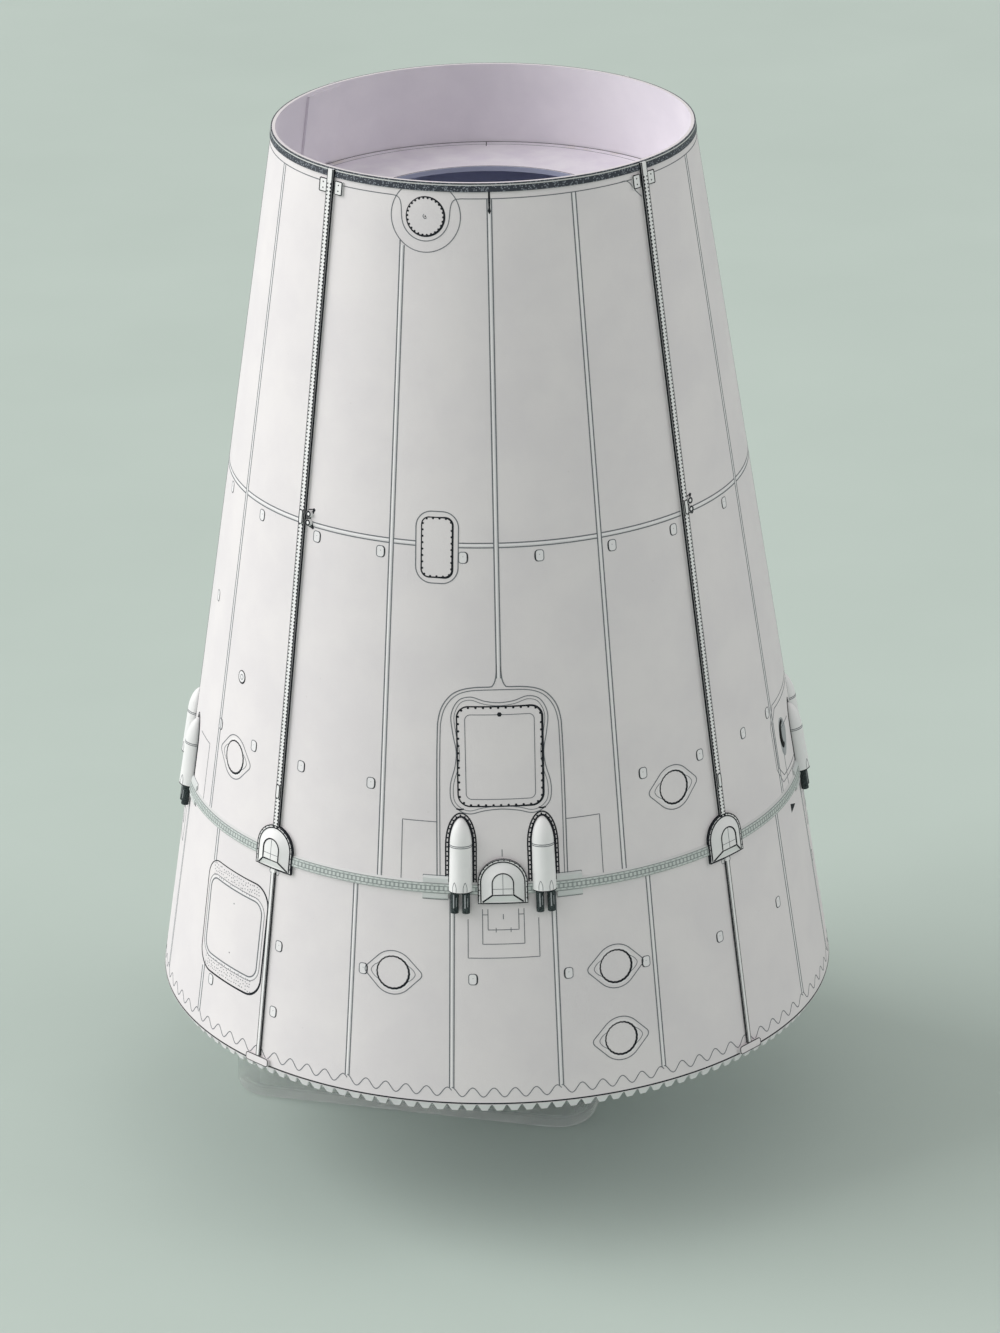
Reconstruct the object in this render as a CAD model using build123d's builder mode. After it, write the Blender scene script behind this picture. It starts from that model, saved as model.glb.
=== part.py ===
from build123d import *
import math
import os

# A card display model of a launch vehicle's conical stage adapter, 1:96.
# It is a truncated cone of printed card, open at the top, with small glued-on
# card fittings, and it stands on a clear plastic box that reaches up inside it.
# Millimetres and degrees. The cone's axis is Z and the floor is at Z = 0.
# Azimuths run from the front (-Y) towards +X. Heights are above the cone's base edge.

# Cone
base_radius = 34.4
top_radius = 20.37
stage_height = 88.9
card_thickness = 0.3
base_gap = 16.7  # from the floor up to the base edge
separation_height = 21.65  # where the lower and upper skins meet

# Rings round the cone
separation_band_height = 1.25
separation_band_depth = 0.25
band_bevel = 0.18
rim_band_height = 0.8
rim_band_depth = 0.12

# Cover strips above and below the separation band, on the outer side of each thruster
cover_height = 2.3
cover_depth = 0.2  # less than the band's, which runs on between the two strips of a cover
cover_span = 4.6
cover_gap = 0.06  # between a cover's end and the thruster's side

# Raceways: raised strips between the quarters
raceway_width = 0.75
raceway_depth = 0.35
raceway_rim_gap = 0.1  # from the rim down to the raceway's end
lower_strip_width = 0.45
lower_strip_depth = 0.25
foot_width = 3.0
foot_height = 0.75
foot_depth = 0.3
foot_corner = 0.25
foot_rise = 0.1  # from the base edge up to the foot plate

# Small plates on the raceways
lug_width = 0.95
lug_height = 1.3
lug_depth = 0.15
lug_offset = 1.0  # from the raceway's middle to the lug's middle
lug_drop = 1.75  # from the rim down to the lug's middle
clip_width = 0.45
clip_length = 1.4
clip_depth = 0.15
lower_clip_height = 28.1
upper_clip_height = 55.5
loop_radius = 0.34
loop_offset = 0.62
loop_spacing = 0.85
loop_depth = 0.3

# Thruster pairs at each quarter
thruster_azimuth = 7.45
thruster_width = 2.3
thruster_depth = 1.2
thruster_bottom = 21.42
thruster_body_length = 4.64
thruster_waist = 0.92  # the section's size where the nose starts, as a share of the foot's
nose_length = 2.55
nose_tip_share = 0.08
nose_fullness = 0.6  # the lower, the blunter
nozzle_radius = 0.38
nozzle_wall = 0.12
nozzle_length = 2.1
nozzle_bore_depth = 1.2
nozzle_spacing = 1.1
nozzle_standoff = 0.45

# Arched domes over the band, between the thrusters and on the raceways
dome_width = 4.1
dome_height = 4.0
dome_top_width = 2.05
dome_top_height = 2.15
dome_toe = 0.87  # how far its top face stands back from its bottom edge
dome_depth = 0.75
dome_bottom = 20.33
dome_flange_width = 0.35
dome_flange_foot = 0.12  # how far the flange shows below the bottom edge
dome_flange_depth = 0.33  # a card layer over the band
dome_sink = 0.08  # how far the arch's foot is set down into its flange

# Inside the cone
shelf_drop = 8.5  # from the rim down to the shelf ring's top
shelf_hole_radius = 12.9
disc_thickness = 0.5
seam_width = 5.0
seam_azimuth = -129.2
seam_clearance = 0.3

# Toothed glue ring inside the base edge
tooth_count = 146
tooth_drop = 0.95
tooth_lean = 0.3
tooth_gap_share = 0.6
tab_ring_height = 2.2
tab_thickness = 0.25

# Clear plastic box that the cone is set down over
stand_width = 38.6
stand_depth = 16.0
stand_corner = 4.0
stand_wall = 0.8
stand_lid_thickness = 1.0
stand_foot_fillet = 0.7
stand_centre = (-7.68, 2.96)
stand_turn = -16.0
stand_clearance = 0.4  # between the box's farthest corner and the cone's inner wall

quarters = {"front": 0, "right": 90, "back": 180, "left": 270}
corners = {"front_right": 45, "back_right": 135, "back_left": 225, "front_left": 315}
sides = {"a": -1, "b": 1}

taper = (base_radius - top_radius) / stage_height
slope = math.atan(taper)
card_run = card_thickness / math.cos(slope)
tab_run = tab_thickness / math.cos(slope)
bite = 1.0  # how far a fitting's blank reaches into the skin before it is trimmed to it


# Outer radius of the skin at a height above the base edge
def skin_radius(height):
    return base_radius - taper * height


# Direction straight out from the axis at an azimuth
def outward(azimuth):
    turn = math.radians(azimuth)
    return Vector(math.sin(turn), -math.cos(turn), 0)


# Plane through the axis: its x runs outward and its y runs up, from the base edge
def axis_plane(azimuth):
    across = outward(azimuth)
    return Plane(origin=(0, 0, base_gap), x_dir=across, z_dir=across.cross(Vector(0, 0, 1)))


# Plane lying on the skin: x runs round it, y up its slope and z out of it
def skin_plane(azimuth, height):
    across = outward(azimuth)
    turn = math.radians(azimuth)
    point = across * skin_radius(height) + Vector(0, 0, base_gap + height)
    normal = across * math.cos(slope) + Vector(0, 0, math.sin(slope))
    return Plane(origin=point, x_dir=(math.cos(turn), math.sin(turn), 0), z_dir=normal)


# Plane across a fitting: x runs round the skin, y out of it and z down its slope
def cross_plane(azimuth, height, shift=0.0, rise=0.0):
    on_skin = skin_plane(azimuth, height)
    point = on_skin.origin + on_skin.x_dir * shift + on_skin.y_dir * rise
    return Plane(origin=point, x_dir=on_skin.x_dir, z_dir=-on_skin.y_dir)


# Length up the slope between two heights
def slope_length(rise):
    return rise / math.cos(slope)


# Corners of a strip of the cone's wall between two heights, set out and in from the skin
def wall_strip(low, high, outer, inner):
    return [
        (skin_radius(low) + outer, low),
        (skin_radius(high) + outer, high),
        (skin_radius(high) + inner, high),
        (skin_radius(low) + inner, low),
    ]


# Corners of a bevelled band round the skin, reaching a little way into it
def band_section(middle, height, depth):
    low = middle - height / 2
    high = middle + height / 2
    return [
        (skin_radius(low) - bite, low),
        (skin_radius(low), low),
        (skin_radius(low) + depth, low + band_bevel),
        (skin_radius(high) + depth, high - band_bevel),
        (skin_radius(high), high),
        (skin_radius(high) - bite, high),
    ]


def save(piece, label):
    piece.part.label = label
    export_step(piece.part, f"parts/{label}.step")


os.makedirs("parts", exist_ok=True)

# Skins ---------------------------------------------------------------------

with BuildPart() as skin_lower:
    with BuildSketch(axis_plane(0)):
        with BuildLine():
            Polyline(*wall_strip(0, separation_height, 0, -card_run), close=True)
        make_face()
    revolve(axis=Axis.Z)
save(skin_lower, "skin_lower")

with BuildPart() as skin_upper:
    with BuildSketch(axis_plane(0)):
        with BuildLine():
            Polyline(*wall_strip(separation_height, stage_height, 0, -card_run), close=True)
        make_face()
    revolve(axis=Axis.Z)
save(skin_upper, "skin_upper")


# The cone's outside as a solid, past both of its ends and grown by an amount
def build_core(growth):
    low_end = -2 * base_gap
    high_end = stage_height + base_gap
    with BuildPart() as core:
        with BuildSketch(axis_plane(0)):
            with BuildLine():
                Polyline(
                    (0, low_end),
                    (skin_radius(low_end) + growth, low_end),
                    (skin_radius(high_end) + growth, high_end),
                    (0, high_end),
                    close=True,
                )
            make_face()
        revolve(axis=Axis.Z)
    return core


skin_core = build_core(0)
flange_core = build_core(dome_flange_depth)

# Rings round the cone --------------------------------------------------------

with BuildPart() as rim_band:
    with BuildSketch(axis_plane(0)):
        with BuildLine():
            band_low = stage_height - rim_band_height
            Polyline(*wall_strip(band_low, stage_height, rim_band_depth, 0), close=True)
        make_face()
    revolve(axis=Axis.Z)
save(rim_band, "rim_band")

with BuildPart() as separation_band:
    with BuildSketch(axis_plane(0)):
        with BuildLine():
            section = band_section(separation_height, separation_band_height, separation_band_depth)
            Polyline(*section, close=True)
        make_face()
    revolve(axis=Axis.Z)
    add(skin_core.part, mode=Mode.SUBTRACT)
save(separation_band, "separation_band")

# Cover strips along the band, from each thruster's outer side outwards
cover_start = thruster_azimuth + math.degrees(
    (thruster_width / 2 + cover_gap) / skin_radius(separation_height)
)
for quarter, azimuth in quarters.items():
    with BuildPart() as band_covers:
        for start in (azimuth + cover_start, azimuth - cover_start - cover_span):
            with BuildSketch(axis_plane(start)):
                with BuildLine():
                    Polyline(*band_section(separation_height, cover_height, cover_depth), close=True)
                make_face()
            revolve(axis=Axis.Z, revolution_arc=cover_span)
        add(skin_core.part, mode=Mode.SUBTRACT)
        add(separation_band.part, mode=Mode.SUBTRACT)
    save(band_covers, f"band_covers_{quarter}")

# Domes ---------------------------------------------------------------------------


# Arched outline: straight sides up from its bottom edge to a half-round top
def arch_face(width, height, bottom):
    radius = width / 2
    spring = bottom + height - radius
    with BuildSketch() as arch:
        with BuildLine():
            Line((-radius, bottom), (radius, bottom))
            Line((radius, bottom), (radius, spring))
            ThreePointArc((radius, spring), (0, spring + radius), (-radius, spring))
            Line((-radius, spring), (-radius, bottom))
        make_face()
    return arch.sketch


# Prism over a dome's flange, from inside the skin to outside everything near it
def flange_blank(azimuth):
    flange_height = dome_height + dome_flange_width + dome_flange_foot
    with BuildPart() as blank:
        with BuildSketch(skin_plane(azimuth, dome_bottom).offset(-bite)):
            add(arch_face(dome_width + 2 * dome_flange_width, flange_height, -dome_flange_foot))
        extrude(amount=2 * bite)
    return blank.part


# Shallow arched frustum on a flange: its sides lean in from the arch on the flange to a smaller arch
def build_dome(azimuth):
    on_skin = skin_plane(azimuth, dome_bottom)
    with BuildPart() as dome:
        add(flange_blank(azimuth))
        add(flange_core.part, mode=Mode.INTERSECT)
        with BuildSketch(on_skin.offset(dome_flange_depth - dome_sink)):
            add(arch_face(dome_width, dome_height, 0))
        with BuildSketch(on_skin.offset(dome_depth)):
            add(arch_face(dome_top_width, dome_top_height, dome_toe))
        loft()
        add(skin_core.part, mode=Mode.SUBTRACT)
        add(separation_band.part, mode=Mode.SUBTRACT)
    return dome


for place, azimuth in (quarters | corners).items():
    save(build_dome(azimuth), f"dome_{place}")

# Raceways --------------------------------------------------------------------------


# Strip of constant section lying up the slope between two heights, not yet trimmed to the skin
def strip_blank(azimuth, low, high, width, depth):
    length = slope_length(high - low)
    with BuildPart() as blank:
        with BuildSketch(skin_plane(azimuth, low).offset(-bite)):
            with Locations((0, length / 2)):
                Rectangle(width, length)
        extrude(amount=bite + depth)
    return blank.part


for corner, azimuth in corners.items():
    dome_top = dome_bottom + dome_height * math.cos(slope)
    raceway_top = stage_height - raceway_rim_gap
    blank = strip_blank(azimuth, dome_top - bite, raceway_top, raceway_width, raceway_depth)
    with BuildPart() as raceway_upper:
        add(blank)
        add(skin_core.part, mode=Mode.SUBTRACT)
        add(rim_band.part, mode=Mode.SUBTRACT)
        add(flange_blank(azimuth), mode=Mode.SUBTRACT)
    save(raceway_upper, f"raceway_upper_{corner}")

foot_top = foot_rise + foot_height
for corner, azimuth in corners.items():
    blank = strip_blank(azimuth, foot_top, dome_bottom, lower_strip_width, lower_strip_depth)
    with BuildPart() as raceway_lower:
        add(blank)
        add(skin_core.part, mode=Mode.SUBTRACT)
        add(separation_band.part, mode=Mode.SUBTRACT)
        add(flange_blank(azimuth), mode=Mode.SUBTRACT)
    save(raceway_lower, f"raceway_lower_{corner}")

with BuildPart() as raceway_feet:
    for azimuth in corners.values():
        with BuildSketch(skin_plane(azimuth, foot_rise).offset(-bite)):
            with Locations((0, slope_length(foot_height) / 2)):
                RectangleRounded(foot_width, slope_length(foot_height), foot_corner)
        extrude(amount=bite + foot_depth)
    add(skin_core.part, mode=Mode.SUBTRACT)
save(raceway_feet, "raceway_feet")

with BuildPart() as raceway_lugs:
    for azimuth in corners.values():
        with BuildSketch(skin_plane(azimuth, stage_height - lug_drop).offset(-bite)):
            with Locations((-lug_offset, 0), (lug_offset, 0)):
                Rectangle(lug_width, lug_height)
        extrude(amount=bite + lug_depth)
    add(skin_core.part, mode=Mode.SUBTRACT)
save(raceway_lugs, "raceway_lugs")

# Small oblong clips on top of the raceways
with BuildPart() as raceway_clips:
    for azimuth in corners.values():
        for height in (lower_clip_height, upper_clip_height):
            with BuildSketch(skin_plane(azimuth, height).offset(raceway_depth)):
                SlotOverall(clip_length, clip_width, rotation=90)
            extrude(amount=clip_depth)
save(raceway_clips, "raceway_clips")

# Pairs of small loops beside each raceway where the middle ring line crosses it
with BuildPart() as ring_loops:
    for azimuth in corners.values():
        middle = skin_plane(azimuth, upper_clip_height).offset(-bite)
        with BuildSketch(middle):
            with Locations((loop_offset + raceway_width / 2 - loop_radius / 2, 0)):
                with GridLocations(0, loop_spacing, 1, 2):
                    Circle(loop_radius)
        extrude(amount=bite + loop_depth)
    add(skin_core.part, mode=Mode.SUBTRACT)
save(ring_loops, "ring_loops")

# Thrusters ----------------------------------------------------------------------------


# D-shaped section of a thruster at a share of its full size: round outside, flat towards the skin
def thruster_section(share):
    radius = thruster_width / 2 * share
    shoulder = (thruster_depth - thruster_width / 2) * share
    with BuildSketch() as section:
        with BuildLine():
            Line((-radius, -card_thickness), (radius, -card_thickness))
            Line((radius, -card_thickness), (radius, shoulder))
            ThreePointArc((radius, shoulder), (0, shoulder + radius), (-radius, shoulder))
            Line((-radius, shoulder), (-radius, -card_thickness))
        make_face()
    return section.sketch


nose_stations = [0.0, 0.3, 0.55, 0.75, 0.9, 1.0]
for quarter, azimuth in quarters.items():
    for side, sign in sides.items():
        centre = azimuth + sign * thruster_azimuth
        with BuildPart() as thruster:
            with BuildSketch(cross_plane(centre, thruster_bottom)):
                add(thruster_section(1.0))
            with BuildSketch(cross_plane(centre, thruster_bottom, rise=thruster_body_length)):
                add(thruster_section(thruster_waist))
            loft()
            for station in nose_stations:
                rise = thruster_body_length + station * nose_length
                rounding = (1 - station**2) ** nose_fullness
                share = thruster_waist * (nose_tip_share + (1 - nose_tip_share) * rounding)
                with BuildSketch(cross_plane(centre, thruster_bottom, rise=rise)):
                    add(thruster_section(share))
            loft()
            add(skin_core.part, mode=Mode.SUBTRACT)
            add(separation_band.part, mode=Mode.SUBTRACT)
        save(thruster, f"thruster_{quarter}_{side}")

        with BuildPart() as nozzles:
            for shift in (-nozzle_spacing / 2, nozzle_spacing / 2):
                with BuildSketch(cross_plane(centre, thruster_bottom, shift=shift)):
                    with Locations((0, nozzle_standoff)):
                        Circle(nozzle_radius)
                extrude(amount=nozzle_length)
                bore_start = -(nozzle_length - nozzle_bore_depth)
                with BuildSketch(cross_plane(centre, thruster_bottom, shift=shift, rise=bore_start)):
                    with Locations((0, nozzle_standoff)):
                        Circle(nozzle_radius - nozzle_wall)
                extrude(amount=nozzle_bore_depth, mode=Mode.SUBTRACT)
            add(separation_band.part, mode=Mode.SUBTRACT)
        save(nozzles, f"nozzles_{quarter}_{side}")

# Inside the cone --------------------------------------------------------------------------


# Flat disc that meets the cone's inner wall all round, with its top at a height
def wall_disc(top, hole_radius):
    low = top - disc_thickness
    Polyline(
        (hole_radius, low),
        (skin_radius(low) - card_run, low),
        (skin_radius(top) - card_run, top),
        (hole_radius, top),
        close=True,
    )


shelf_height = stage_height - shelf_drop
with BuildPart() as shelf_ring:
    with BuildSketch(axis_plane(0)):
        with BuildLine():
            wall_disc(shelf_height, shelf_hole_radius)
        make_face()
    revolve(axis=Axis.Z)
save(shelf_ring, "shelf_ring")

# Strip that backs the skin's seam, between the shelf ring and the rim
with BuildPart() as seam_strip:
    seam_span = math.degrees(seam_width / skin_radius(stage_height))
    seam_low = shelf_height + seam_clearance
    seam_high = stage_height - seam_clearance
    with BuildSketch(axis_plane(seam_azimuth - seam_span / 2)):
        with BuildLine():
            Polyline(*wall_strip(seam_low, seam_high, -card_run, -card_run - tab_run), close=True)
        make_face()
    revolve(axis=Axis.Z, revolution_arc=seam_span)
save(seam_strip, "seam_strip")

# Toothed ring: glued inside the base edge, its teeth hang below the edge and lean in
with BuildPart() as tab_ring:
    inside = skin_radius(0) - card_run
    inside_top = skin_radius(tab_ring_height) - card_run
    with BuildSketch(axis_plane(0)):
        with BuildLine():
            Polyline(
                (inside, 0),
                (inside_top, tab_ring_height),
                (inside_top - tab_run, tab_ring_height),
                (inside - tab_run, 0),
                (inside - tab_run - tooth_lean, -tooth_drop),
                (inside - tooth_lean, -tooth_drop),
                close=True,
            )
        make_face()
    revolve(axis=Axis.Z)
    pitch = 2 * math.pi * inside / tooth_count
    half_gap = pitch * tooth_gap_share / 2
    gap_plane = Plane(origin=(0, -inside + bite + tooth_lean, base_gap), x_dir=(1, 0, 0), z_dir=(0, -1, 0))
    with BuildSketch(gap_plane, mode=Mode.PRIVATE) as gap_sketch:
        with BuildLine():
            Polyline((0, -tab_thickness / 4), (-half_gap, -tooth_drop), (half_gap, -tooth_drop), close=True)
        make_face()
    gap = extrude(gap_sketch.sketch, amount=2 * bite + tooth_lean, mode=Mode.PRIVATE)
    with PolarLocations(0, tooth_count):
        add(gap, mode=Mode.SUBTRACT)
save(tab_ring, "tab_ring")

# Clear box and what rests on it --------------------------------------------------------------

stand_plane = Plane(
    origin=(*stand_centre, 0),
    x_dir=(math.cos(math.radians(stand_turn)), math.sin(math.radians(stand_turn)), 0),
    z_dir=(0, 0, 1),
)
corner_x = stand_width / 2 - stand_corner
corner_y = stand_depth / 2 - stand_corner
corner_centres = [stand_plane.from_local_coords((x, y, 0)) for x in (-corner_x, corner_x) for y in (-corner_y, corner_y)]
stand_reach = max(math.hypot(*tuple(centre)[:2]) for centre in corner_centres) + stand_corner

# The box reaches up to where its farthest corner comes close to the cone's inner wall
support_height = (base_radius - card_run - stand_reach - stand_clearance) / taper
stand_height = base_gap + support_height - disc_thickness - stand_lid_thickness

with BuildPart() as stand_box:
    with BuildSketch(stand_plane):
        RectangleRounded(stand_width, stand_depth, stand_corner)
    extrude(amount=stand_height)
    fillet(stand_box.faces().sort_by(Axis.Z)[0].edges(), stand_foot_fillet)
    with BuildSketch(stand_plane.offset(stand_wall)):
        inner_corner = stand_corner - stand_wall
        RectangleRounded(stand_width - 2 * stand_wall, stand_depth - 2 * stand_wall, inner_corner)
    extrude(amount=stand_height, mode=Mode.SUBTRACT)
save(stand_box, "stand_box")

with BuildPart() as stand_lid:
    with BuildSketch(stand_plane.offset(stand_height)):
        RectangleRounded(stand_width, stand_depth, stand_corner)
    extrude(amount=stand_lid_thickness)
save(stand_lid, "stand_lid")

with BuildPart() as support_disc:
    with BuildSketch(axis_plane(0)):
        with BuildLine():
            wall_disc(support_height, 0)
        make_face()
    revolve(axis=Axis.Z)
save(support_disc, "support_disc")

print(f"cone {2 * base_radius:.1f} x {base_gap + stage_height:.1f} mm")
print(f"box {stand_height:.2f} mm tall, support disc at {base_gap + support_height:.2f} mm")
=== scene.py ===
import math

import bpy
import numpy as np
from mathutils import Matrix, Vector


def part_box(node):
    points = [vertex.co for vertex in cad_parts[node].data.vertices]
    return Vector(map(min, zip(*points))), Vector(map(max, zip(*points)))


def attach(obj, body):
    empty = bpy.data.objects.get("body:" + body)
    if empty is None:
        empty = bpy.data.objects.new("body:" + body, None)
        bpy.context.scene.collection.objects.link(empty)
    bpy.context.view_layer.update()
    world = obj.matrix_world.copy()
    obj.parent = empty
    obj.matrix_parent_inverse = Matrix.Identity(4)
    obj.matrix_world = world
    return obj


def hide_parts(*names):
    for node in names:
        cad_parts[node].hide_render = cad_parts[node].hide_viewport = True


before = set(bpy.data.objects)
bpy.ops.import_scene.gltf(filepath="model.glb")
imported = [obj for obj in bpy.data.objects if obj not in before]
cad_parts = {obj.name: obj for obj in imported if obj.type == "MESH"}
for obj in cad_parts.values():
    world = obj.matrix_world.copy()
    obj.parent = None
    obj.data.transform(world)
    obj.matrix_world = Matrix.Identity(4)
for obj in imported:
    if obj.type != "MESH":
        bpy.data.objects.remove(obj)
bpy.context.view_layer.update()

# A printed card stage adapter on its clear box. Millimetres and degrees until a mesh is made.
# Azimuths run from the front (-Y) towards +X, and heights are above the cone's base edge.
millimetre = 0.001
lowSkin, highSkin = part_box("skin_lower"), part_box("skin_upper")
edgeZ = lowSkin[0].z / millimetre
baseRadius = -lowSkin[0].y / millimetre
coneHeight = (highSkin[1].z - lowSkin[0].z) / millimetre
jointHeight = (highSkin[0].z - lowSkin[0].z) / millimetre
taper = (baseRadius + highSkin[0].y / millimetre) / jointHeight
slope = math.atan(taper)
cosSlope, sinSlope = math.cos(slope), math.sin(slope)
card = {"thickness": 0.3, "columns": 720}

quarters = {"front": 0, "right": 90, "back": 180, "left": 270}
corners = {"front_right": 45, "back_right": 135, "back_left": 225, "front_left": 315}
halves = (0, 180)  # what is printed on the front half is printed on the back half too


# Outer radius of the card: R = base radius - taper * height
def skinRadius(height):
    return baseRadius - taper * np.asarray(height, float)


# Height of a CAD node's lowest or highest point above the base edge
def heightOf(node, end):
    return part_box(node)[end].z / millimetre - edgeZ


# Azimuth from one feature to another that is a distance round the card at a height
def degreesFor(distance, height):
    return np.degrees(distance / skinRadius(height))


# Vectors at length one: v / |v|
def unit(vectors):
    return vectors / np.linalg.norm(vectors, axis=-1, keepdims=True)


# Points at an azimuth in radians: (r sin a, -r cos a, z)
def aroundAxis(radius, turn, z):
    radius, turn, z = np.broadcast_arrays(radius, turn, z)
    return np.stack([radius * np.sin(turn), -radius * np.cos(turn), z], -1)


# Out of the card at an azimuth: (cos s sin a, -cos s cos a, sin s)
def skinNormal(azimuth):
    return aroundAxis(cosSlope, np.radians(azimuth), sinSlope)


# Point on the card: (R sin a, -R cos a, edge + height), moved out along the normal by the lift
def onSkin(azimuth, height, lift=0.0):
    flat = aroundAxis(skinRadius(height), np.radians(azimuth), edgeZ + np.asarray(height, float))
    return flat + skinNormal(azimuth) * lift


# Path (u, v) drawn on the card round a centre: height = centre + v cos s, azimuth = centre + u / R
def wrapped(centre, path, lift=0.0):
    height = centre[1] + path[:, 1] * cosSlope
    azimuth = centre[0] + degreesFor(path[:, 0], height)
    return onSkin(azimuth, height, lift), skinNormal(azimuth)


# Point of a fitting's own frame: origin on the card + u across + v up the slope + w out of the card
def onFitting(centre, u, v, w):
    turn = math.radians(centre[0])
    across = np.array([math.cos(turn), math.sin(turn), 0])
    out = skinNormal(centre[0])
    up = np.cross(out, across)
    u, v, w = np.broadcast_arrays(*(np.asarray(x, float) for x in (u, v, w)))
    return onSkin(*centre) + u[..., None] * across + v[..., None] * up + w[..., None] * out


# Quads of a grid of rows by columns, joined round where it is closed
def gridFaces(rows, columns, closedRows=False, closedColumns=False):
    row = np.arange(rows if closedRows else rows - 1)[:, None]
    column = np.arange(columns if closedColumns else columns - 1)[None, :]
    nextRow, nextColumn = (row + 1) % rows, (column + 1) % columns
    quads = [row * columns + column, row * columns + nextColumn,
             nextRow * columns + nextColumn, nextRow * columns + column]
    return np.stack(quads, -1).reshape(-1, 4)


# Solid from a stack of closed sections, with a flat cap at each end unless it is closed round
def stacked(sections, closed=False):
    count, size = sections.shape[:2]
    faces = gridFaces(count, size, closedRows=closed, closedColumns=True).tolist()
    if not closed:
        faces.append(list(range(size))[::-1])
        faces.append(list(range((count - 1) * size, count * size)))
    return sections.reshape(-1, 3), faces


# Solid of revolution of a closed profile (radius, z): point = (r sin a, -r cos a, z)
def turned(profile, columns, start=0.0, span=360.0):
    profile, whole = np.array(profile), span >= 360
    turn = np.radians(start + span * np.linspace(0, 1, columns, endpoint=not whole))
    return stacked(aroundAxis(profile[None, :, 0], turn[:, None], profile[None, :, 1]), closed=whole)


# Six times a mesh's volume: the sum of its signed tetrahedra, negative where its faces point inwards
def signedVolume(points, faces):
    total = 0.0
    for size in {len(face) for face in faces}:
        ring = points[np.array([face for face in faces if len(face) == size])]
        for corner in range(1, size - 1):
            total += np.einsum("ij,ij->i", ring[:, 0], np.cross(ring[:, corner], ring[:, corner + 1])).sum()
    return total


# One mesh piece from shells of (points, faces, material number), at its own place and with faces outwards
def makePiece(name, shells, materials, nodes=(), sharp=35.0):
    points, faces, numbers, count = [], [], [], 0
    for shell in shells:
        shellPoints, shellFaces = shell[:2]
        if signedVolume(shellPoints, shellFaces) < 0:
            shellFaces = [face[::-1] for face in shellFaces]
        points.append(shellPoints)
        faces += [[corner + count for corner in face] for face in shellFaces]
        number = shell[2] if len(shell) > 2 else 0
        numbers += list(number) if np.ndim(number) else [number] * len(shellFaces)
        count += len(shellPoints)
    mesh = bpy.data.meshes.new(name)
    mesh.from_pydata((np.concatenate(points) * millimetre).tolist(), [], faces)
    mesh.polygons.foreach_set("use_smooth", np.ones(len(faces), bool))
    mesh.polygons.foreach_set("material_index", np.array(numbers, np.int32))
    mesh.set_sharp_from_angle(angle=math.radians(sharp))
    for material in materials:
        mesh.materials.append(material)
    mesh.update()
    piece = bpy.data.objects.new(name, mesh)
    bpy.context.scene.collection.objects.link(piece)
    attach(piece, "root")
    if nodes:
        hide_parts(*nodes)
    return piece


# Paths


# Length along a path at each of its corners
def lengthAlong(path):
    return np.concatenate([[0], np.cumsum(np.linalg.norm(np.diff(path, axis=0), axis=1))])


# Points of a path at lengths along it
def pointsAt(path, places):
    return np.stack([np.interp(places, lengthAlong(path), np.asarray(path)[:, axis]) for axis in (0, 1)], -1)


# Path with points at least every step along it: places between its corners are worked out by length
def divided(path, step=0.5, closed=False):
    whole = np.vstack([path, path[:1]]) if closed else path
    length = lengthAlong(whole)
    places = np.unique(np.round(np.concatenate([length, np.arange(0, length[-1], step)]), 4))
    places = places[np.concatenate([[True], np.diff(places) > 0.02])]
    if closed:
        places = places[places < length[-1] - 0.02]
    return pointsAt(whole, places)


# Arc round a middle: middle + radius (cos t, sin t)
def arc(middle, radius, start, end, steps):
    turn = np.radians(np.linspace(start, end, steps))
    return np.stack([middle[0] + radius * np.cos(turn), middle[1] + radius * np.sin(turn)], -1)


# Rectangle with arcs at its corners, middle at (0, 0)
def roundedRect(width, height, corner, steps=10):
    x, y = width / 2 - corner, height / 2 - corner
    arcs = [arc((sx * x, sy * y), corner, start, start + 90, steps)
            for sx, sy, start in ((1, 1, 0), (-1, 1, 90), (-1, -1, 180), (1, -1, 270))]
    return np.concatenate(arcs)


# Circle round (0, 0) as evenly spaced points: radius (cos t, sin t)
def circlePath(radius, count):
    return arc((0, 0), radius, 0, 360, count + 1)[:-1]


# Rounded rectangle with points at least every step along it
def platePath(width, height, corner, step, steps=10):
    return divided(roundedRect(width, height, corner, steps), step, closed=True)


# Straight sides up to the spring, then half an ellipse over the top, open at the bottom
def archPath(halfWidth, bottom, spring, top, steps=33):
    turn = np.radians(np.linspace(0, 180, steps))
    bow = np.stack([halfWidth * np.cos(turn), spring + (top - spring) * np.sin(turn)], -1)
    return np.vstack([[(halfWidth, bottom)], bow, [(-halfWidth, bottom)]])


# Smooth line through points: each span is the cubic p1 + t/2 (p2 - p0) + t^2/2 (...) + t^3/2 (...)
def smooth(points, steps=8, closed=False):
    points = np.asarray(points, float)
    if closed:
        before, after, later = np.roll(points, 1, 0), np.roll(points, -1, 0), np.roll(points, -2, 0)
        here = points
    else:
        padded = np.vstack([2 * points[0] - points[1], points, 2 * points[-1] - points[-2]])
        before, here, after, later = padded[:-3], padded[1:-2], padded[2:-1], padded[3:]
    t = np.linspace(0, 1, steps, endpoint=False)[None, :, None]
    p0, p1, p2, p3 = (p[:, None, :] for p in (before, here, after, later))
    spans = p1 + 0.5 * t * (p2 - p0) + 0.5 * t**2 * (2 * p0 - 5 * p1 + 4 * p2 - p3) \
        + 0.5 * t**3 * (3 * p1 - 3 * p2 + p3 - p0)
    line = spans.reshape(-1, 2)
    return line if closed else np.vstack([line, points[-1:]])


# Closed path moved sideways: point + distance * (t_y, -t_x), with t its direction
def shifted(path, distance):
    ahead = unit(np.roll(path, -1, 0) - np.roll(path, 1, 0))
    return path + distance * np.stack([ahead[:, 1], -ahead[:, 0]], -1)


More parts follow.
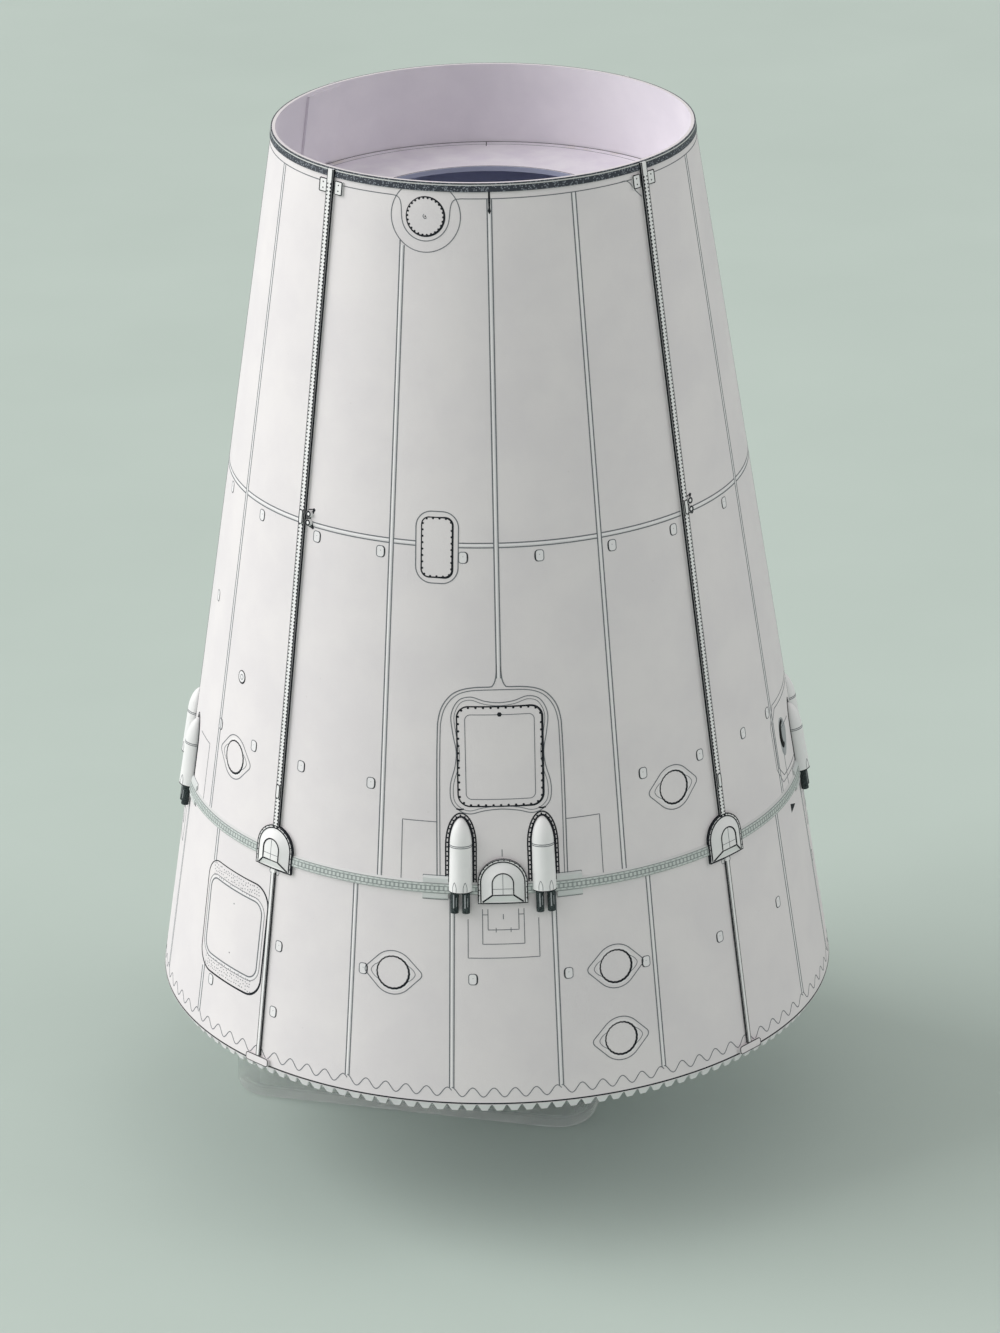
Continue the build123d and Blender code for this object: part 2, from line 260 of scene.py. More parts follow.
# Width that grows with a share held between 0 and 1: least + more * share ^ power
def swell(least, more, share, power=1):
    return least + more * np.clip(share, 0, 1) ** power


# Outline round a circle and two small circles out at its sides, joined by their shared tangents
def lensOutline(radius, tipRadius, reach, steps=24):
    lean = math.degrees(math.acos((radius - tipRadius) / reach))
    return np.concatenate([
        arc((reach, 0), tipRadius, -lean, lean, steps // 2),
        arc((0, 0), radius, lean, 180 - lean, steps),
        arc((-reach, 0), tipRadius, 180 - lean, 180 + lean, steps // 2),
        arc((0, 0), radius, 180 + lean, 360 - lean, steps),
    ])


# Printed lines and dots, gathered as low ridges into one piece
class LineWork:
    rise, sink = 0.018, 0.03

    def __init__(self, name, material, slotName="ink"):
        self.name, self.material, self.slotName, self.shells = name, material, slotName, []

    # Ridge along points: side = normal x direction, corners at +-width/2 sunk in and +-0.4 width raised
    def line(self, points, normals, width, closed=False, rise=None):
        ahead = np.roll(points, -1, 0) - np.roll(points, 1, 0) if closed else np.gradient(points, axis=0)
        side = unit(np.cross(normals, ahead)) * np.broadcast_to(width, len(points))[:, None] / 2
        low, high = points - self.sink * normals, points + (rise or self.rise) * normals
        sections = np.stack([low - side, high - side * 0.8, high + side * 0.8, low + side], 1)
        self.shells.append(stacked(sections, closed=closed))

    # Line drawn on the card round a centre, or above it by the lift
    def draw(self, centre, path, width, closed=False, rise=None, lift=0.0):
        self.line(*wrapped(centre, path, lift), width, closed, rise)

    # Closed line drawn the same way
    def loop(self, centre, path, width, rise=None, lift=0.0):
        self.draw(centre, path, width, True, rise, lift)

    # Line through absolute places (azimuth, height) on the card
    def trace(self, places, width, closed=False, rise=None):
        azimuth, height = np.asarray(places, float).T
        self.line(onSkin(azimuth, height), skinNormal(azimuth), width, closed, rise)

    # Straight line up the card at one azimuth
    def upright(self, azimuth, low, high, width):
        self.trace([(azimuth, low), (azimuth, high)], width)

    # Line up the card that stays a distance beside an azimuth
    def beside(self, azimuth, distance, heights, width, rise=None):
        self.trace(np.stack([azimuth + degreesFor(distance, heights), heights], -1), width, rise=rise)

    # Level line round the card
    def level(self, height, start, end, width, rise=None):
        whole = abs(end - start) >= 360
        turns = np.linspace(start, end, max(3, int(abs(end - start)) + 2), endpoint=not whole)
        self.trace(np.stack([turns, 0 * turns + height], -1), width, closed=whole, rise=rise)

    # Line on a fitting's face, at places (u, v) and the height w of its own frame
    def face(self, centre, path, w, width, closed=False):
        points = onFitting(centre, *np.transpose(path), w)
        self.line(points, np.tile(skinNormal(centre[0]), (len(points), 1)), width, closed)

    # Line whose faces point away from a middle
    def away(self, points, middle, width, rise=0.012):
        self.line(points, unit(points - middle), width, rise=rise)

    # Six-sided dots: rings of radius r sunk in and 0.85 r raised. They need normals that aren't upright
    def dots(self, points, normals, radius):
        across = unit(np.cross(normals, (0, 0, 1.0)))
        up = np.cross(across, normals)
        turn = np.radians(np.arange(6) * 60)[None, :, None]
        ring = np.cos(turn) * across[:, None] + np.sin(turn) * up[:, None]
        ring = ring * np.broadcast_to(radius, len(points))[:, None, None]
        low = points[:, None] + ring - self.sink * normals[:, None]
        high = points[:, None] + 0.85 * ring + self.rise * normals[:, None]
        self.shells += [stacked(solid) for solid in np.stack([low, high], 1)]

    # Dots at places round a centre on the card
    def spots(self, centre, path, radius):
        self.dots(*wrapped(centre, np.asarray(path, float)), radius)

    # Dots on a fitting's face
    def faceSpots(self, centre, path, w, radius):
        points = onFitting(centre, *np.transpose(path), w)
        self.dots(points, np.tile(skinNormal(centre[0]), (len(points), 1)), radius)

    # Dots along a path on the card
    def dotted(self, centre, path, radius, step, closed=True):
        whole = np.vstack([path, path[:1]]) if closed else path
        self.spots(centre, pointsAt(whole, np.arange(step / 2, lengthAlong(whole)[-1], step)), radius)

    # Flat printed patch: the closed path's inside, raised a little, as a fan of narrow strips
    def patch(self, centre, path, rise=0.008):
        middle = path.mean(0)
        rings = [middle + (path - middle) * share for share in (1.0, 0.66, 0.33, 0.02)]
        top = [wrapped(centre, ring, rise)[0] for ring in rings]
        low = wrapped(centre, rings[0], -self.sink)[0]
        self.shells.append(stacked(np.stack([low, *top])))


# One piece of each line work, in turn
def buildAll(*works):
    for work in works:
        print(f"{work.name}: {len(work.shells)} marks")
        makePiece(work.name, work.shells, [work.material], sharp=60.0)


# Materials


# A socket in a material; arithmetic on it adds Math nodes
class Wire:
    def __init__(self, paint, socket):
        self.paint, self.socket = paint, socket

    # A Math node with this socket first
    def math(self, operation, *others):
        return self.paint.node("ShaderNodeMath", {"operation": operation}, dict(enumerate((self, *others))))

    def __add__(self, other):
        return self.math("ADD", other)

    def __sub__(self, other):
        return self.math("SUBTRACT", other)

    def __rsub__(self, other):
        return (self * -1.0) + other

    def __mul__(self, other):
        return self.math("MULTIPLY", other)

    def __lt__(self, other):
        return self.math("LESS_THAN", other)

    def __gt__(self, other):
        return self.math("GREATER_THAN", other)


# Linear colour from the 0 to 255 numbers of a paint chart: ((c + 0.055) / 1.055) ^ 2.4
def chart(red, green, blue):
    return (*(((c / 255 + 0.055) / 1.055) ** 2.4 for c in (red, green, blue)), 1.0)


# One material and the ways of adding to it
class Paint:
    def __init__(self, name):
        self.material = bpy.data.materials.new(name)
        self.material.use_nodes = True
        self.tree = self.material.node_tree
        self.tree.nodes.clear()

    # Any node: its settings first, then values or links for its sockets; gives the output asked for
    def node(self, kind, settings=None, sockets=None, output=0):
        made = self.tree.nodes.new(kind)
        for name, value in (settings or {}).items():
            setattr(made, name, value)
        for name, value in (sockets or {}).items():
            if isinstance(value, Wire):
                self.tree.links.new(value.socket, made.inputs[name])
            else:
                made.inputs[name].default_value = value
        return Wire(self, made.outputs[output])

    # Object coordinates in millimetres
    def place(self):
        raw = self.node("ShaderNodeTexCoord", output="Object")
        return self.node("ShaderNodeVectorMath", {"operation": "SCALE"}, {0: raw, "Scale": 1000.0})

    # The three object coordinates
    def axes(self):
        raw = self.place()
        return [self.node("ShaderNodeSeparateXYZ", None, {0: raw}, output) for output in range(3)]

    # Height above the base edge
    def height(self):
        return self.axes()[2] - edgeZ

    # Azimuth in turns: atan2(x, -y) / 2 pi
    def around(self):
        x, y = self.axes()[:2]
        return x.math("ARCTAN2", y * -1.0) * (0.5 / math.pi)

    # Cloudy values with features of the given size
    def noise(self, size, detail=3.0, roughness=0.6):
        sockets = {"Vector": self.place(), "Scale": 1 / size, "Detail": detail, "Roughness": roughness}
        return self.node("ShaderNodeTexNoise", None, sockets)

    # Random dots: one in each cell of the given size, with the given radius as a share of it
    def specks(self, size, radius):
        cells = self.node("ShaderNodeTexVoronoi", None, {"Vector": self.place(), "Scale": 1 / size})
        return cells < radius

    # From one colour to another by the share
    def blend(self, share, colourA, colourB):
        return self.node("ShaderNodeMix", {"data_type": "RGBA"}, {0: share, 6: colourA, 7: colourB}, 2)

    # From 0 at one value to 1 at another
    def ramp(self, value, low, high):
        return self.node("ShaderNodeMapRange", None, {"Value": value, "From Min": low, "From Max": high})

    # Waviness from a height, with its distance in millimetres
    def bump(self, height, distance, strength):
        sockets = {"Height": height, "Distance": distance * millimetre, "Strength": strength}
        return self.node("ShaderNodeBump", None, sockets)

    # The material, with the named sockets of its shader set or linked
    def finish(self, **sockets):
        named = {name.replace("_", " "): value for name, value in sockets.items()}
        shader = self.node("ShaderNodeBsdfPrincipled", None, named)
        output = self.tree.nodes.new("ShaderNodeOutputMaterial")
        self.tree.links.new(shader.socket, output.inputs["Surface"])
        return self.material

    # Card's sheen and waviness: roughness from the grain, bumps from grain + 3 * cloud
    def finishCard(self, colour, cloud, grain, rough):
        waves = self.bump(grain + cloud * 3.0, 0.012, 0.8)
        return self.finish(Base_Color=colour, Roughness=grain * 0.14 + (rough - 0.07),
                           Specular_IOR_Level=0.32, Normal=waves)


# Card: clouds a few millimetres wide between two near tints, fine fibres and a little waviness
def cardPaint(name, tint, shade, rough=0.6):
    paint = Paint(name)
    cloud, grain = paint.noise(7.0, 4.0, 0.55), paint.noise(0.22, 2.0, 0.7)
    colour = paint.blend(paint.ramp(cloud, 0.38, 0.62), tint, shade)
    flecks = paint.specks(1.9, 0.045) * paint.ramp(cloud, 0.5, 0.6)
    return paint.finishCard(paint.blend(flecks * 0.25, colour, chart(196, 192, 188)), cloud, grain, rough)


# Ink: two near darks in grains, with a dull print sheen
def inkPaint(name, dark, light):
    paint = Paint(name)
    grain = paint.noise(0.16, 2.0)
    colour = paint.blend(paint.ramp(grain, 0.35, 0.65), dark, light)
    return paint.finish(Base_Color=colour, Roughness=grain * 0.2 + 0.6,
                        Specular_IOR_Level=0.1, Normal=paint.bump(grain, 0.004, 0.5))


# Card inside the cone: pale, with painted shade, darker and bluer, in the closed chamber from the disc up to
# the shelf
def innerPaint(floorHeight, roofHeight):
    paint = Paint("inner_card")
    height, cloud, grain = paint.height(), paint.noise(7.0, 4.0, 0.55), paint.noise(0.22, 2.0, 0.7)
    share = paint.ramp(cloud, 0.38, 0.62)
    pale = paint.blend(share, chart(233, 229, 235), chart(226, 222, 229))
    # Painted shade: the darker, bluer card of the closed chamber
    chamberShade = paint.blend(share, chart(202, 208, 231), chart(194, 200, 223))
    chamberShadeMask = (height < roofHeight) * (height > floorHeight)
    return paint.finishCard(paint.blend(chamberShadeMask, pale, chamberShade), cloud, grain, 0.67)


printedCard = cardPaint("printed_card", chart(229, 225, 226), chart(224, 220, 222))
bareCard = cardPaint("bare_card", chart(236, 235, 236), chart(231, 230, 232))
fittingCard = cardPaint("fitting_card", chart(238, 238, 238), chart(231, 232, 232), 0.52)
darkInk = inkPaint("dark_ink", chart(30, 33, 38), chart(44, 47, 52))
blackInk = inkPaint("black_ink", chart(12, 13, 15), chart(20, 21, 23))
greyInk = inkPaint("grey_ink", chart(104, 109, 114), chart(122, 126, 130))
paleInk = inkPaint("pale_ink", chart(158, 162, 166), chart(172, 176, 178))

rimPrint = {"line": 0.12, "gap": 0.22, "speckSize": 0.2, "speckRadius": 0.36}


# Rim print: a dark line, a light gap and a dark stippled band, by depth below the rim
def rimPaint(sizes):
    paint = Paint("rim_print")
    depth = coneHeight - paint.height()
    grain = paint.noise(0.12, 2.0)
    specks = paint.specks(sizes["speckSize"], sizes["speckRadius"])
    stipple = paint.blend(specks, chart(52, 57, 66), chart(126, 132, 140))
    band = (depth < sizes["line"]) + (depth > sizes["gap"])
    colour = paint.blend(band, chart(206, 208, 206), stipple)
    return paint.finish(Base_Color=colour, Roughness=grain * 0.2 + 0.42,
                        Specular_IOR_Level=0.35, Normal=paint.bump(grain, 0.006, 0.5))


bandPrint = {"line": 0.03, "innerLine": 0.2, "outerLine": 0.44, "edge": 0.47,
             "rungs": 440, "rungShare": 0.42, "rungReach": 0.17,
             "dots": 300, "dotShare": 0.17, "dotPlace": 0.32, "dotReach": 0.05}


# Band print: thin lines at set heights, a row of rungs between the inner two and dots outside them
def bandPaint(sizes):
    paint = Paint("band_print")
    around, away = paint.around(), (paint.height() - jointHeight).math("ABSOLUTE")
    inner = (away - sizes["innerLine"]).math("ABSOLUTE") < sizes["line"]
    outer = (away - sizes["outerLine"]).math("ABSOLUTE") < sizes["line"]
    rungs = ((around * sizes["rungs"]).math("FRACT") < sizes["rungShare"]) * (away < sizes["rungReach"])
    across = ((around * sizes["dots"]).math("FRACT") - 0.5).math("ABSOLUTE")
    row = (away - sizes["dotPlace"]).math("ABSOLUTE") < sizes["dotReach"]
    dots = (across < sizes["dotShare"]) * row
    cloud = paint.noise(1.2, 3.0)
    ground = paint.blend(paint.ramp(cloud, 0.35, 0.65), chart(202, 209, 206), chart(192, 200, 197))
    ground = paint.blend(away > sizes["edge"], ground, chart(208, 210, 209))
    marks = (inner * 0.9 + outer * 0.8 + rungs * 0.55 + dots * 0.4).math("MINIMUM", 1.0)
    colour = paint.blend(marks, ground, chart(90, 99, 100))
    return paint.finish(Base_Color=colour, Roughness=cloud * 0.16 + 0.48,
                        Specular_IOR_Level=0.35, Normal=paint.bump(cloud, 0.006, 0.6))


# Clear plastic with a faint ripple
def clearPaint():
    paint = Paint("clear_plastic")
    ripple = paint.noise(5.0, 2.0)
    return paint.finish(Base_Color=(0.96, 0.985, 0.975, 1.0), Roughness=0.06, IOR=1.42,
                        Transmission_Weight=1.0, Alpha=0.35, Normal=paint.bump(ripple, 0.05, 0.4))


# Shelf card: white, with small dried glue spots near its outer edge
def shelfPaint():
    paint = Paint("shelf_card")
    x, y = paint.axes()[:2]
    reach = (x * x + y * y).math("SQRT")
    cloud = paint.noise(3.0, 4.0)
    colour = paint.blend(paint.ramp(cloud, 0.35, 0.65), chart(232, 228, 234), chart(222, 216, 226))
    glue = paint.ramp(cloud, 0.56, 0.64) * (reach > glueReach)
    colour = paint.blend(glue * 0.3, colour, chart(206, 198, 160))
    return paint.finish(Base_Color=colour, Roughness=cloud * 0.2 + 0.5, Normal=paint.bump(cloud, 0.03, 0.6))


shelfTop, discTop = heightOf("shelf_ring", 1), heightOf("support_disc", 1)
glueReach = float(skinRadius(shelfTop)) - 1.1  # where the shelf's glue spots start
chamberTop = shelfTop - 0.6  # just under the shelf
rimInk, bandInk = rimPaint(rimPrint), bandPaint(bandPrint)
clearPlastic, shelfCard = clearPaint(), shelfPaint()
# The inner card's painted shade runs from the support disc up to just under the shelf
innerCard = innerPaint(discTop, chamberTop)
# Painted shade: a darker blue-grey card for the shelf hole's edge and the support disc, deep in the cone
deepShadeCard = cardPaint("deep_shade_card", chart(184, 190, 212), chart(177, 183, 206), 0.7)
coverCard = cardPaint("cover_card", chart(210, 214, 213), chart(202, 207, 206), 0.55)
gluePaint = inkPaint("dried_glue", chart(196, 188, 166), chart(176, 170, 168))
nozzlePaint = inkPaint("nozzle_print", chart(34, 40, 42), chart(72, 82, 82))
print("materials made")

# Card cone, rings and what is inside

inward = card["thickness"] / cosSlope


# Corners of a strip of wall between two heights, set out and in from the card's outer face
def wallStrip(low, high, outer, inner):
    return [(skinRadius(low) + outer, edgeZ + low), (skinRadius(high) + outer, edgeZ + high),
            (skinRadius(high) + inner, edgeZ + high), (skinRadius(low) + inner, edgeZ + low)]


# Material numbers of a turned strip's faces: the third side of each section is its inner face
def innerSide(columns):
    return np.tile([0, 0, 1, 0], columns)


for name, low, high in (("skin_lower", 0.0, jointHeight), ("skin_upper", jointHeight, coneHeight)):
    points, faces = turned(wallStrip(low, high, 0, -inward), card["columns"])
    shell = (points, faces, innerSide(card["columns"]))
    makePiece("card_" + name, [shell], [printedCard, innerCard], [name])

ring = {"rimDepth": 0.12, "bandDepth": 0.25, "bandHeight": 1.25, "bevel": 0.18,
        "coverHeight": 2.3, "coverDepth": 0.2, "coverSpan": 4.6, "coverGap": 0.06}
rimLow = heightOf("rim_band", 0)
rim = turned(wallStrip(rimLow, coneHeight, ring["rimDepth"], 0), card["columns"])
makePiece("printed_rim", [rim], [rimInk], ["rim_band"])


# Bevelled section over the joint: in at the card, out by the depth within the bevels
def bandSection(height, depth):
    low, high, bevel = jointHeight - height / 2, jointHeight + height / 2, ring["bevel"]
    return [(skinRadius(low), edgeZ + low), (skinRadius(low) + depth, edgeZ + low + bevel),
            (skinRadius(high) + depth, edgeZ + high - bevel), (skinRadius(high), edgeZ + high)]


band = turned(bandSection(ring["bandHeight"], ring["bandDepth"]), card["columns"])
makePiece("printed_band", [band], [bandInk], ["separation_band"])

thruster = {"azimuth": 7.45, "width": 2.3, "depth": 1.2, "bottom": 21.42, "body": 4.64, "waist": 0.92,
            "nose": 2.55, "tip": 0.08, "fullness": 0.6, "root": -0.3, "steps": 40, "noseSteps": 22,
            "crowding": 1.7}  # crowding sets the nose's sections closer together towards its tip
nozzle = {"radius": 0.38, "wall": 0.12, "length": 2.1, "bore": 1.2, "lip": 0.03, "overlap": 0.02,
          "spacing": 1.1, "standoff": 0.45}
dome = {"width": 4.1, "height": 4.0, "topWidth": 2.05, "topHeight": 2.15, "toe": 0.87, "depth": 0.75,
        "bottom": 20.33, "flange": 0.35, "flangeFoot": 0.12, "flangeDepth": 0.33, "sink": 0.08, "lap": 0.3,
        "edgeDrop": 0.03, "edgeShare": 0.985, "crossRise": 0.62, "crossReach": 0.95, "steps": 40}


# One strip of a cover, below (-1) or above (1) the band: out from the card by the cover's depth
def coverSection(side):
    middle, bevel, depth = jointHeight, ring["bevel"], ring["coverDepth"]
    near, far = middle + side * (ring["bandHeight"] / 2 - 0.1), middle + side * ring["coverHeight"] / 2
    return [(skinRadius(near), edgeZ + near), (skinRadius(near) + depth, edgeZ + near),
            (skinRadius(far - side * bevel) + depth, edgeZ + far - side * bevel),
            (skinRadius(far), edgeZ + far)]


coverStart = thruster["azimuth"] + degreesFor(thruster["width"] / 2 + ring["coverGap"], jointHeight)
for quarter, azimuth in quarters.items():
    covers = [turned(coverSection(side), 24, start, ring["coverSpan"]) for side in (-1, 1)
              for start in (azimuth + coverStart, azimuth - coverStart - ring["coverSpan"])]
    makePiece("cover_strips_" + quarter, covers, [coverCard], ["band_covers_" + quarter])

inside = {"holeRadius": 12.9, "thickness": 0.5}
shelfLow = shelfTop - inside["thickness"]
shelfSection = [(inside["holeRadius"], edgeZ + shelfLow), (skinRadius(shelfLow) - inward, edgeZ + shelfLow),
                (skinRadius(shelfTop) - inward, edgeZ + shelfTop), (inside["holeRadius"], edgeZ + shelfTop)]
points, faces = turned(shelfSection, 360)
# The hole's edge takes the painted shade of the deep card
shelfShell = (points, faces, np.tile([0, 0, 0, 1], 360))
makePiece("card_shelf_ring", [shelfShell], [shelfCard, deepShadeCard], ["shelf_ring"])


# Level circle just inside the card
def wallCircle(height):
    return aroundAxis(skinRadius(height) - inward, np.radians(np.arange(360)), edgeZ + height)


# Support disc in the deep card's painted shade
disc = stacked(np.stack([wallCircle(discTop - inside["thickness"]), wallCircle(discTop)]))
makePiece("card_support_disc", [disc], [deepShadeCard], ["support_disc"])
print("cone and rings made")

# Domes, thrusters and nozzles


# Arched outline with matched steps: straight foot and sides, half-round top
def archOutline(width, height, bottom, steps):
    radius = width / 2
    bow = arc((0, bottom + height - radius), radius, 0, 180, steps)
    foot = np.stack([np.linspace(-radius, radius, 9)[:-1], np.full(8, bottom)], -1)
    side = np.linspace(0, 1, 6)[:-1, None]
    right = np.array([radius, bottom]) * (1 - side) + bow[0] * side
    left = bow[-1] * (1 - side) + np.array([-radius, bottom]) * side
    return np.vstack([foot, right, bow[:-1], left])


# Share of the way up a dome's sloping sides: (w - foot) / (depth - foot), the foot set in the flange
def domeShare(w):
    foot = dome["flangeDepth"] - dome["sink"]
    return (w - foot) / (dome["depth"] - foot)


# Dome outline at a height w: foot arch + share of the way * (top arch - foot arch)
def domeOutline(w):
    foot = archOutline(dome["width"], dome["height"], 0.0, dome["steps"])
    top = archOutline(dome["topWidth"], dome["topHeight"], dome["toe"], dome["steps"])
    return foot + domeShare(w) * (top - foot)


flangeArch = archOutline(dome["width"] + 2 * dome["flange"],
                         dome["height"] + dome["flange"] + dome["flangeFoot"],
                         -dome["flangeFoot"], dome["steps"])


# Dome at an azimuth: body from the foot arch up to the rounded top arch, and the flange round it
def domeShells(azimuth):
    centre = (azimuth, dome["bottom"])
    sunk = dome["flangeDepth"] - dome["sink"]
    outlines = [(domeOutline(w), w) for w in (sunk, dome["depth"] - dome["edgeDrop"])]
    outlines.append((domeOutline(dome["depth"]) * (dome["edgeShare"], 1) + (0, 0.01), dome["depth"]))
    body = np.stack([onFitting(centre, *path.T, w) for path, w in outlines])
    lap = dome["lap"]
    inner = archOutline(dome["width"] - 2 * lap, dome["height"] - 2 * lap, lap, dome["steps"])
    face = dome["flangeDepth"]
    edges = ((flangeArch, -0.1), (flangeArch, face), (inner, face), (inner, -0.1))
    rings = [wrapped(centre, path, lift)[0] for path, lift in edges]
    return [stacked(body), stacked(np.stack(rings), closed=True)]


# Half-round section: straight sides to the shoulder, then a half circle, all scaled by the share
def thrusterSection(share):
    radius = thruster["width"] / 2 * share
    shoulder = (thruster["depth"] - thruster["width"] / 2) * share
    bow = arc((0, shoulder), radius, 0, 180, thruster["steps"])
    return np.vstack([[(-radius, thruster["root"]), (radius, thruster["root"])], bow])


# Thruster: share runs evenly down to the waist, then waist (tip + (1 - tip) (1 - s^2)^fullness)
def thrusterShell(azimuth):
    centre = (azimuth, thruster["bottom"])
    s = 1 - (1 - np.linspace(0, 1, thruster["noseSteps"])) ** thruster["crowding"]
    rounding = np.maximum(0, 1 - s**2) ** thruster["fullness"]
    shares = np.concatenate([[1.0], thruster["waist"] * (thruster["tip"] + (1 - thruster["tip"]) * rounding)])
    rises = np.concatenate([[0.0], thruster["body"] + thruster["nose"] * s])
    sections = [thrusterSection(share) for share in shares]
    return stacked(np.stack([onFitting(centre, section[:, 0], rise, section[:, 1])
                             for section, rise in zip(sections, rises)]))


# Nozzle: circles of each radius of its profile, at each distance down, round its own axis
def nozzleShell(azimuth, shift):
    centre = (azimuth, thruster["bottom"])
    outer, bore = nozzle["radius"], nozzle["radius"] - nozzle["wall"]
    length, lip = nozzle["length"], nozzle["lip"]
    profile = [(outer, nozzle["overlap"]), (outer, lip - length), (outer - lip, -length),
               (bore + lip, -length), (bore, lip - length), (bore, nozzle["bore"] - length)]
    turn = np.radians(np.arange(0, 360, 12))
    circles = [(shift + r * np.cos(turn), v, nozzle["standoff"] + r * np.sin(turn)) for r, v in profile]
    return stacked(np.stack([onFitting(centre, *circle) for circle in circles]))


for place, azimuth in {**quarters, **corners}.items():
    makePiece("card_dome_" + place, domeShells(azimuth), [fittingCard], ["dome_" + place], sharp=25.0)
for quarter, azimuth in quarters.items():
    for side, sign in (("a", -1), ("b", 1)):
        centre = azimuth + sign * thruster["azimuth"]
        label = quarter + "_" + side
        shell = thrusterShell(centre)
        makePiece("card_thruster_" + label, [shell], [fittingCard], ["thruster_" + label])
        pair = [nozzleShell(centre, shift * nozzle["spacing"]) for shift in (-0.5, 0.5)]
        makePiece("printed_nozzles_" + label, pair, [nozzlePaint], ["nozzles_" + label])
print("domes, thrusters and nozzles made")

# Clear box

stand = {"width": 38.6, "depth": 16.0, "corner": 4.0, "wall": 0.8, "fillet": 0.7,
         "innerFillet": 0.5, "lidBevel": 0.2, "turn": -16.0}
standLow, standHigh = (Vector(corner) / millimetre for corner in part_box("stand_box"))
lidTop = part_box("stand_lid")[1].z / millimetre
standMiddle = (standLow + standHigh) / 2


# Level outline of the box, set in from its outside: rounded rectangle turned by the stand's angle
def boxOutline(inset, level):
    path = roundedRect(stand["width"] - 2 * inset, stand["depth"] - 2 * inset, stand["corner"] - inset, 14)
    turn = math.radians(stand["turn"])
    x = standMiddle.x + path[:, 0] * math.cos(turn) - path[:, 1] * math.sin(turn)
    y = standMiddle.y + path[:, 0] * math.sin(turn) + path[:, 1] * math.cos(turn)
    return np.stack([x, y, np.full(len(path), level)], -1)


bend = np.radians(np.linspace(0, 90, 8))
foot = [boxOutline(stand["fillet"] * (1 - math.sin(t)), stand["fillet"] * (1 - math.cos(t))) for t in bend]
wall, rounding = stand["wall"], stand["innerFillet"]
cavity = [boxOutline(wall + rounding * (1 - math.sin(t)), wall + rounding * (1 - math.cos(t)))
          for t in bend[::-1]]
boxSections = [*foot, boxOutline(0, standHigh.z), boxOutline(wall, standHigh.z), *cavity]
makePiece("clear_box", [stacked(np.stack(boxSections))], [clearPlastic], ["stand_box"])
bevel = stand["lidBevel"]
lidSections = [boxOutline(0, standHigh.z), boxOutline(0, lidTop - bevel), boxOutline(bevel, lidTop)]
makePiece("clear_lid", [stacked(np.stack(lidSections))], [clearPlastic], ["stand_lid"])
print("clear box made")

# CAD nodes that keep their shape

for name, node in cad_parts.items():
    if not node.hide_render:
        finish = fittingCard if name.startswith(("raceway", "ring_loops")) else bareCard
        finish = {"seam_strip": innerCard, "raceway_feet": printedCard}.get(name, finish)
        node.data.materials.clear()
        node.data.materials.append(finish)

# Printed lines on the card

ink = {"panel": 0.13, "thin": 0.1, "fine": 0.07, "gap": 0.42, "flat": 0.008}
panels = {"midLow": 54.75, "midHigh": 55.18, "midFill": 0.28, "ringLine": 87.45, "doorTop": 42.2,
          "plateTops": (83.35, 82.9), "hatchTops": (6.35, 6.6), "hatchBottom": 17.55,
          "upperStep": 22.5, "lowerStep": 18.0, "lowerStart": 9,
          "waveMiddle": 1.25, "waveHeight": 0.455, "waves": 5.2, "waveClear": 0.35,
          "edgeHeight": 0.13, "edgeWidth": 0.18}
hatch = {"centre": (-12.5, 54.69), "outer": (4.1, 6.95, 1.55), "inner": (3.0, 5.8, 0.75), "rivetStep": 0.62}
bandLow, bandHigh = heightOf("separation_band", 0), heightOf("separation_band", 1)
panelLines, highlights = LineWork("panel_lines", greyInk), LineWork("panel_highlights", bareCard, "card")


# A pair of upright lines a fixed gap apart, each to its own top, with bare card between them
def doubleUpright(azimuth, low, tops):
    for side, top in zip((-1, 1), tops):
        heights = np.linspace(low, top, 12)
        panelLines.beside(azimuth, side * ink["gap"] / 2, heights, ink["panel"])
    highlights.beside(azimuth, 0, heights, ink["gap"] - ink["panel"], rise=ink["flat"])


upperAzimuths = np.arange(0, 360, panels["upperStep"])
lowerAzimuths = np.arange(panels["lowerStart"], 360, panels["lowerStep"])
waveTop = panels["waveMiddle"] + panels["waveClear"]
for azimuth in upperAzimuths[upperAzimuths % 90 != 45]:
    low = panels["doorTop"] if azimuth % 180 == 0 else bandHigh
    tops = panels["plateTops"] if azimuth % 180 == 157.5 else (panels["ringLine"],) * 2
    doubleUpright(azimuth, low, tops)
for azimuth in lowerAzimuths[lowerAzimuths % 90 != 45]:
    if azimuth % 180 == 117:
        doubleUpright(azimuth, waveTop, panels["hatchTops"])
    low = panels["hatchBottom"] if azimuth % 180 == 117 else waveTop
    doubleUpright(azimuth, low, (bandLow, bandLow))
# The middle ring runs between the uprights, the raceways and the oblong hatches
middle, step = (panels["midLow"] + panels["midHigh"]) / 2, panels["upperStep"]
clear, hatchReach = degreesFor(ink["gap"] / 2, 55), degreesFor(hatch["outer"][0] / 2, 55)
for azimuth in upperAzimuths:
    start, end = (turn + sign * clear * (2 if turn % 90 == 45 else 1)
                  for turn, sign in ((azimuth, 1), (azimuth + step, -1)))
    spans = [(start, end)]
    if azimuth % 180 == 157.5:
        crossing = azimuth + step + hatch["centre"][0]
        spans = [(start, crossing - hatchReach), (crossing + hatchReach, end)]
    for span in spans:
        for height in (panels["midLow"], panels["midHigh"]):
            panelLines.level(height, *span, ink["panel"])
        highlights.level(middle, *span, panels["midFill"], rise=ink["flat"])
# Dark seam end below the rim, over the front and back uprights
seamEnd = {"heights": (86.05, 86.3, 86.6, 87.2, rimLow - 0.02), "widths": (0.1, 0.34, 0.2, 0.26, 0.2)}
seamEnds = LineWork("seam_ends", darkInk)
for turn in halves:
    seamEnds.trace([(turn, height) for height in seamEnd["heights"]], np.array(seamEnd["widths"]))
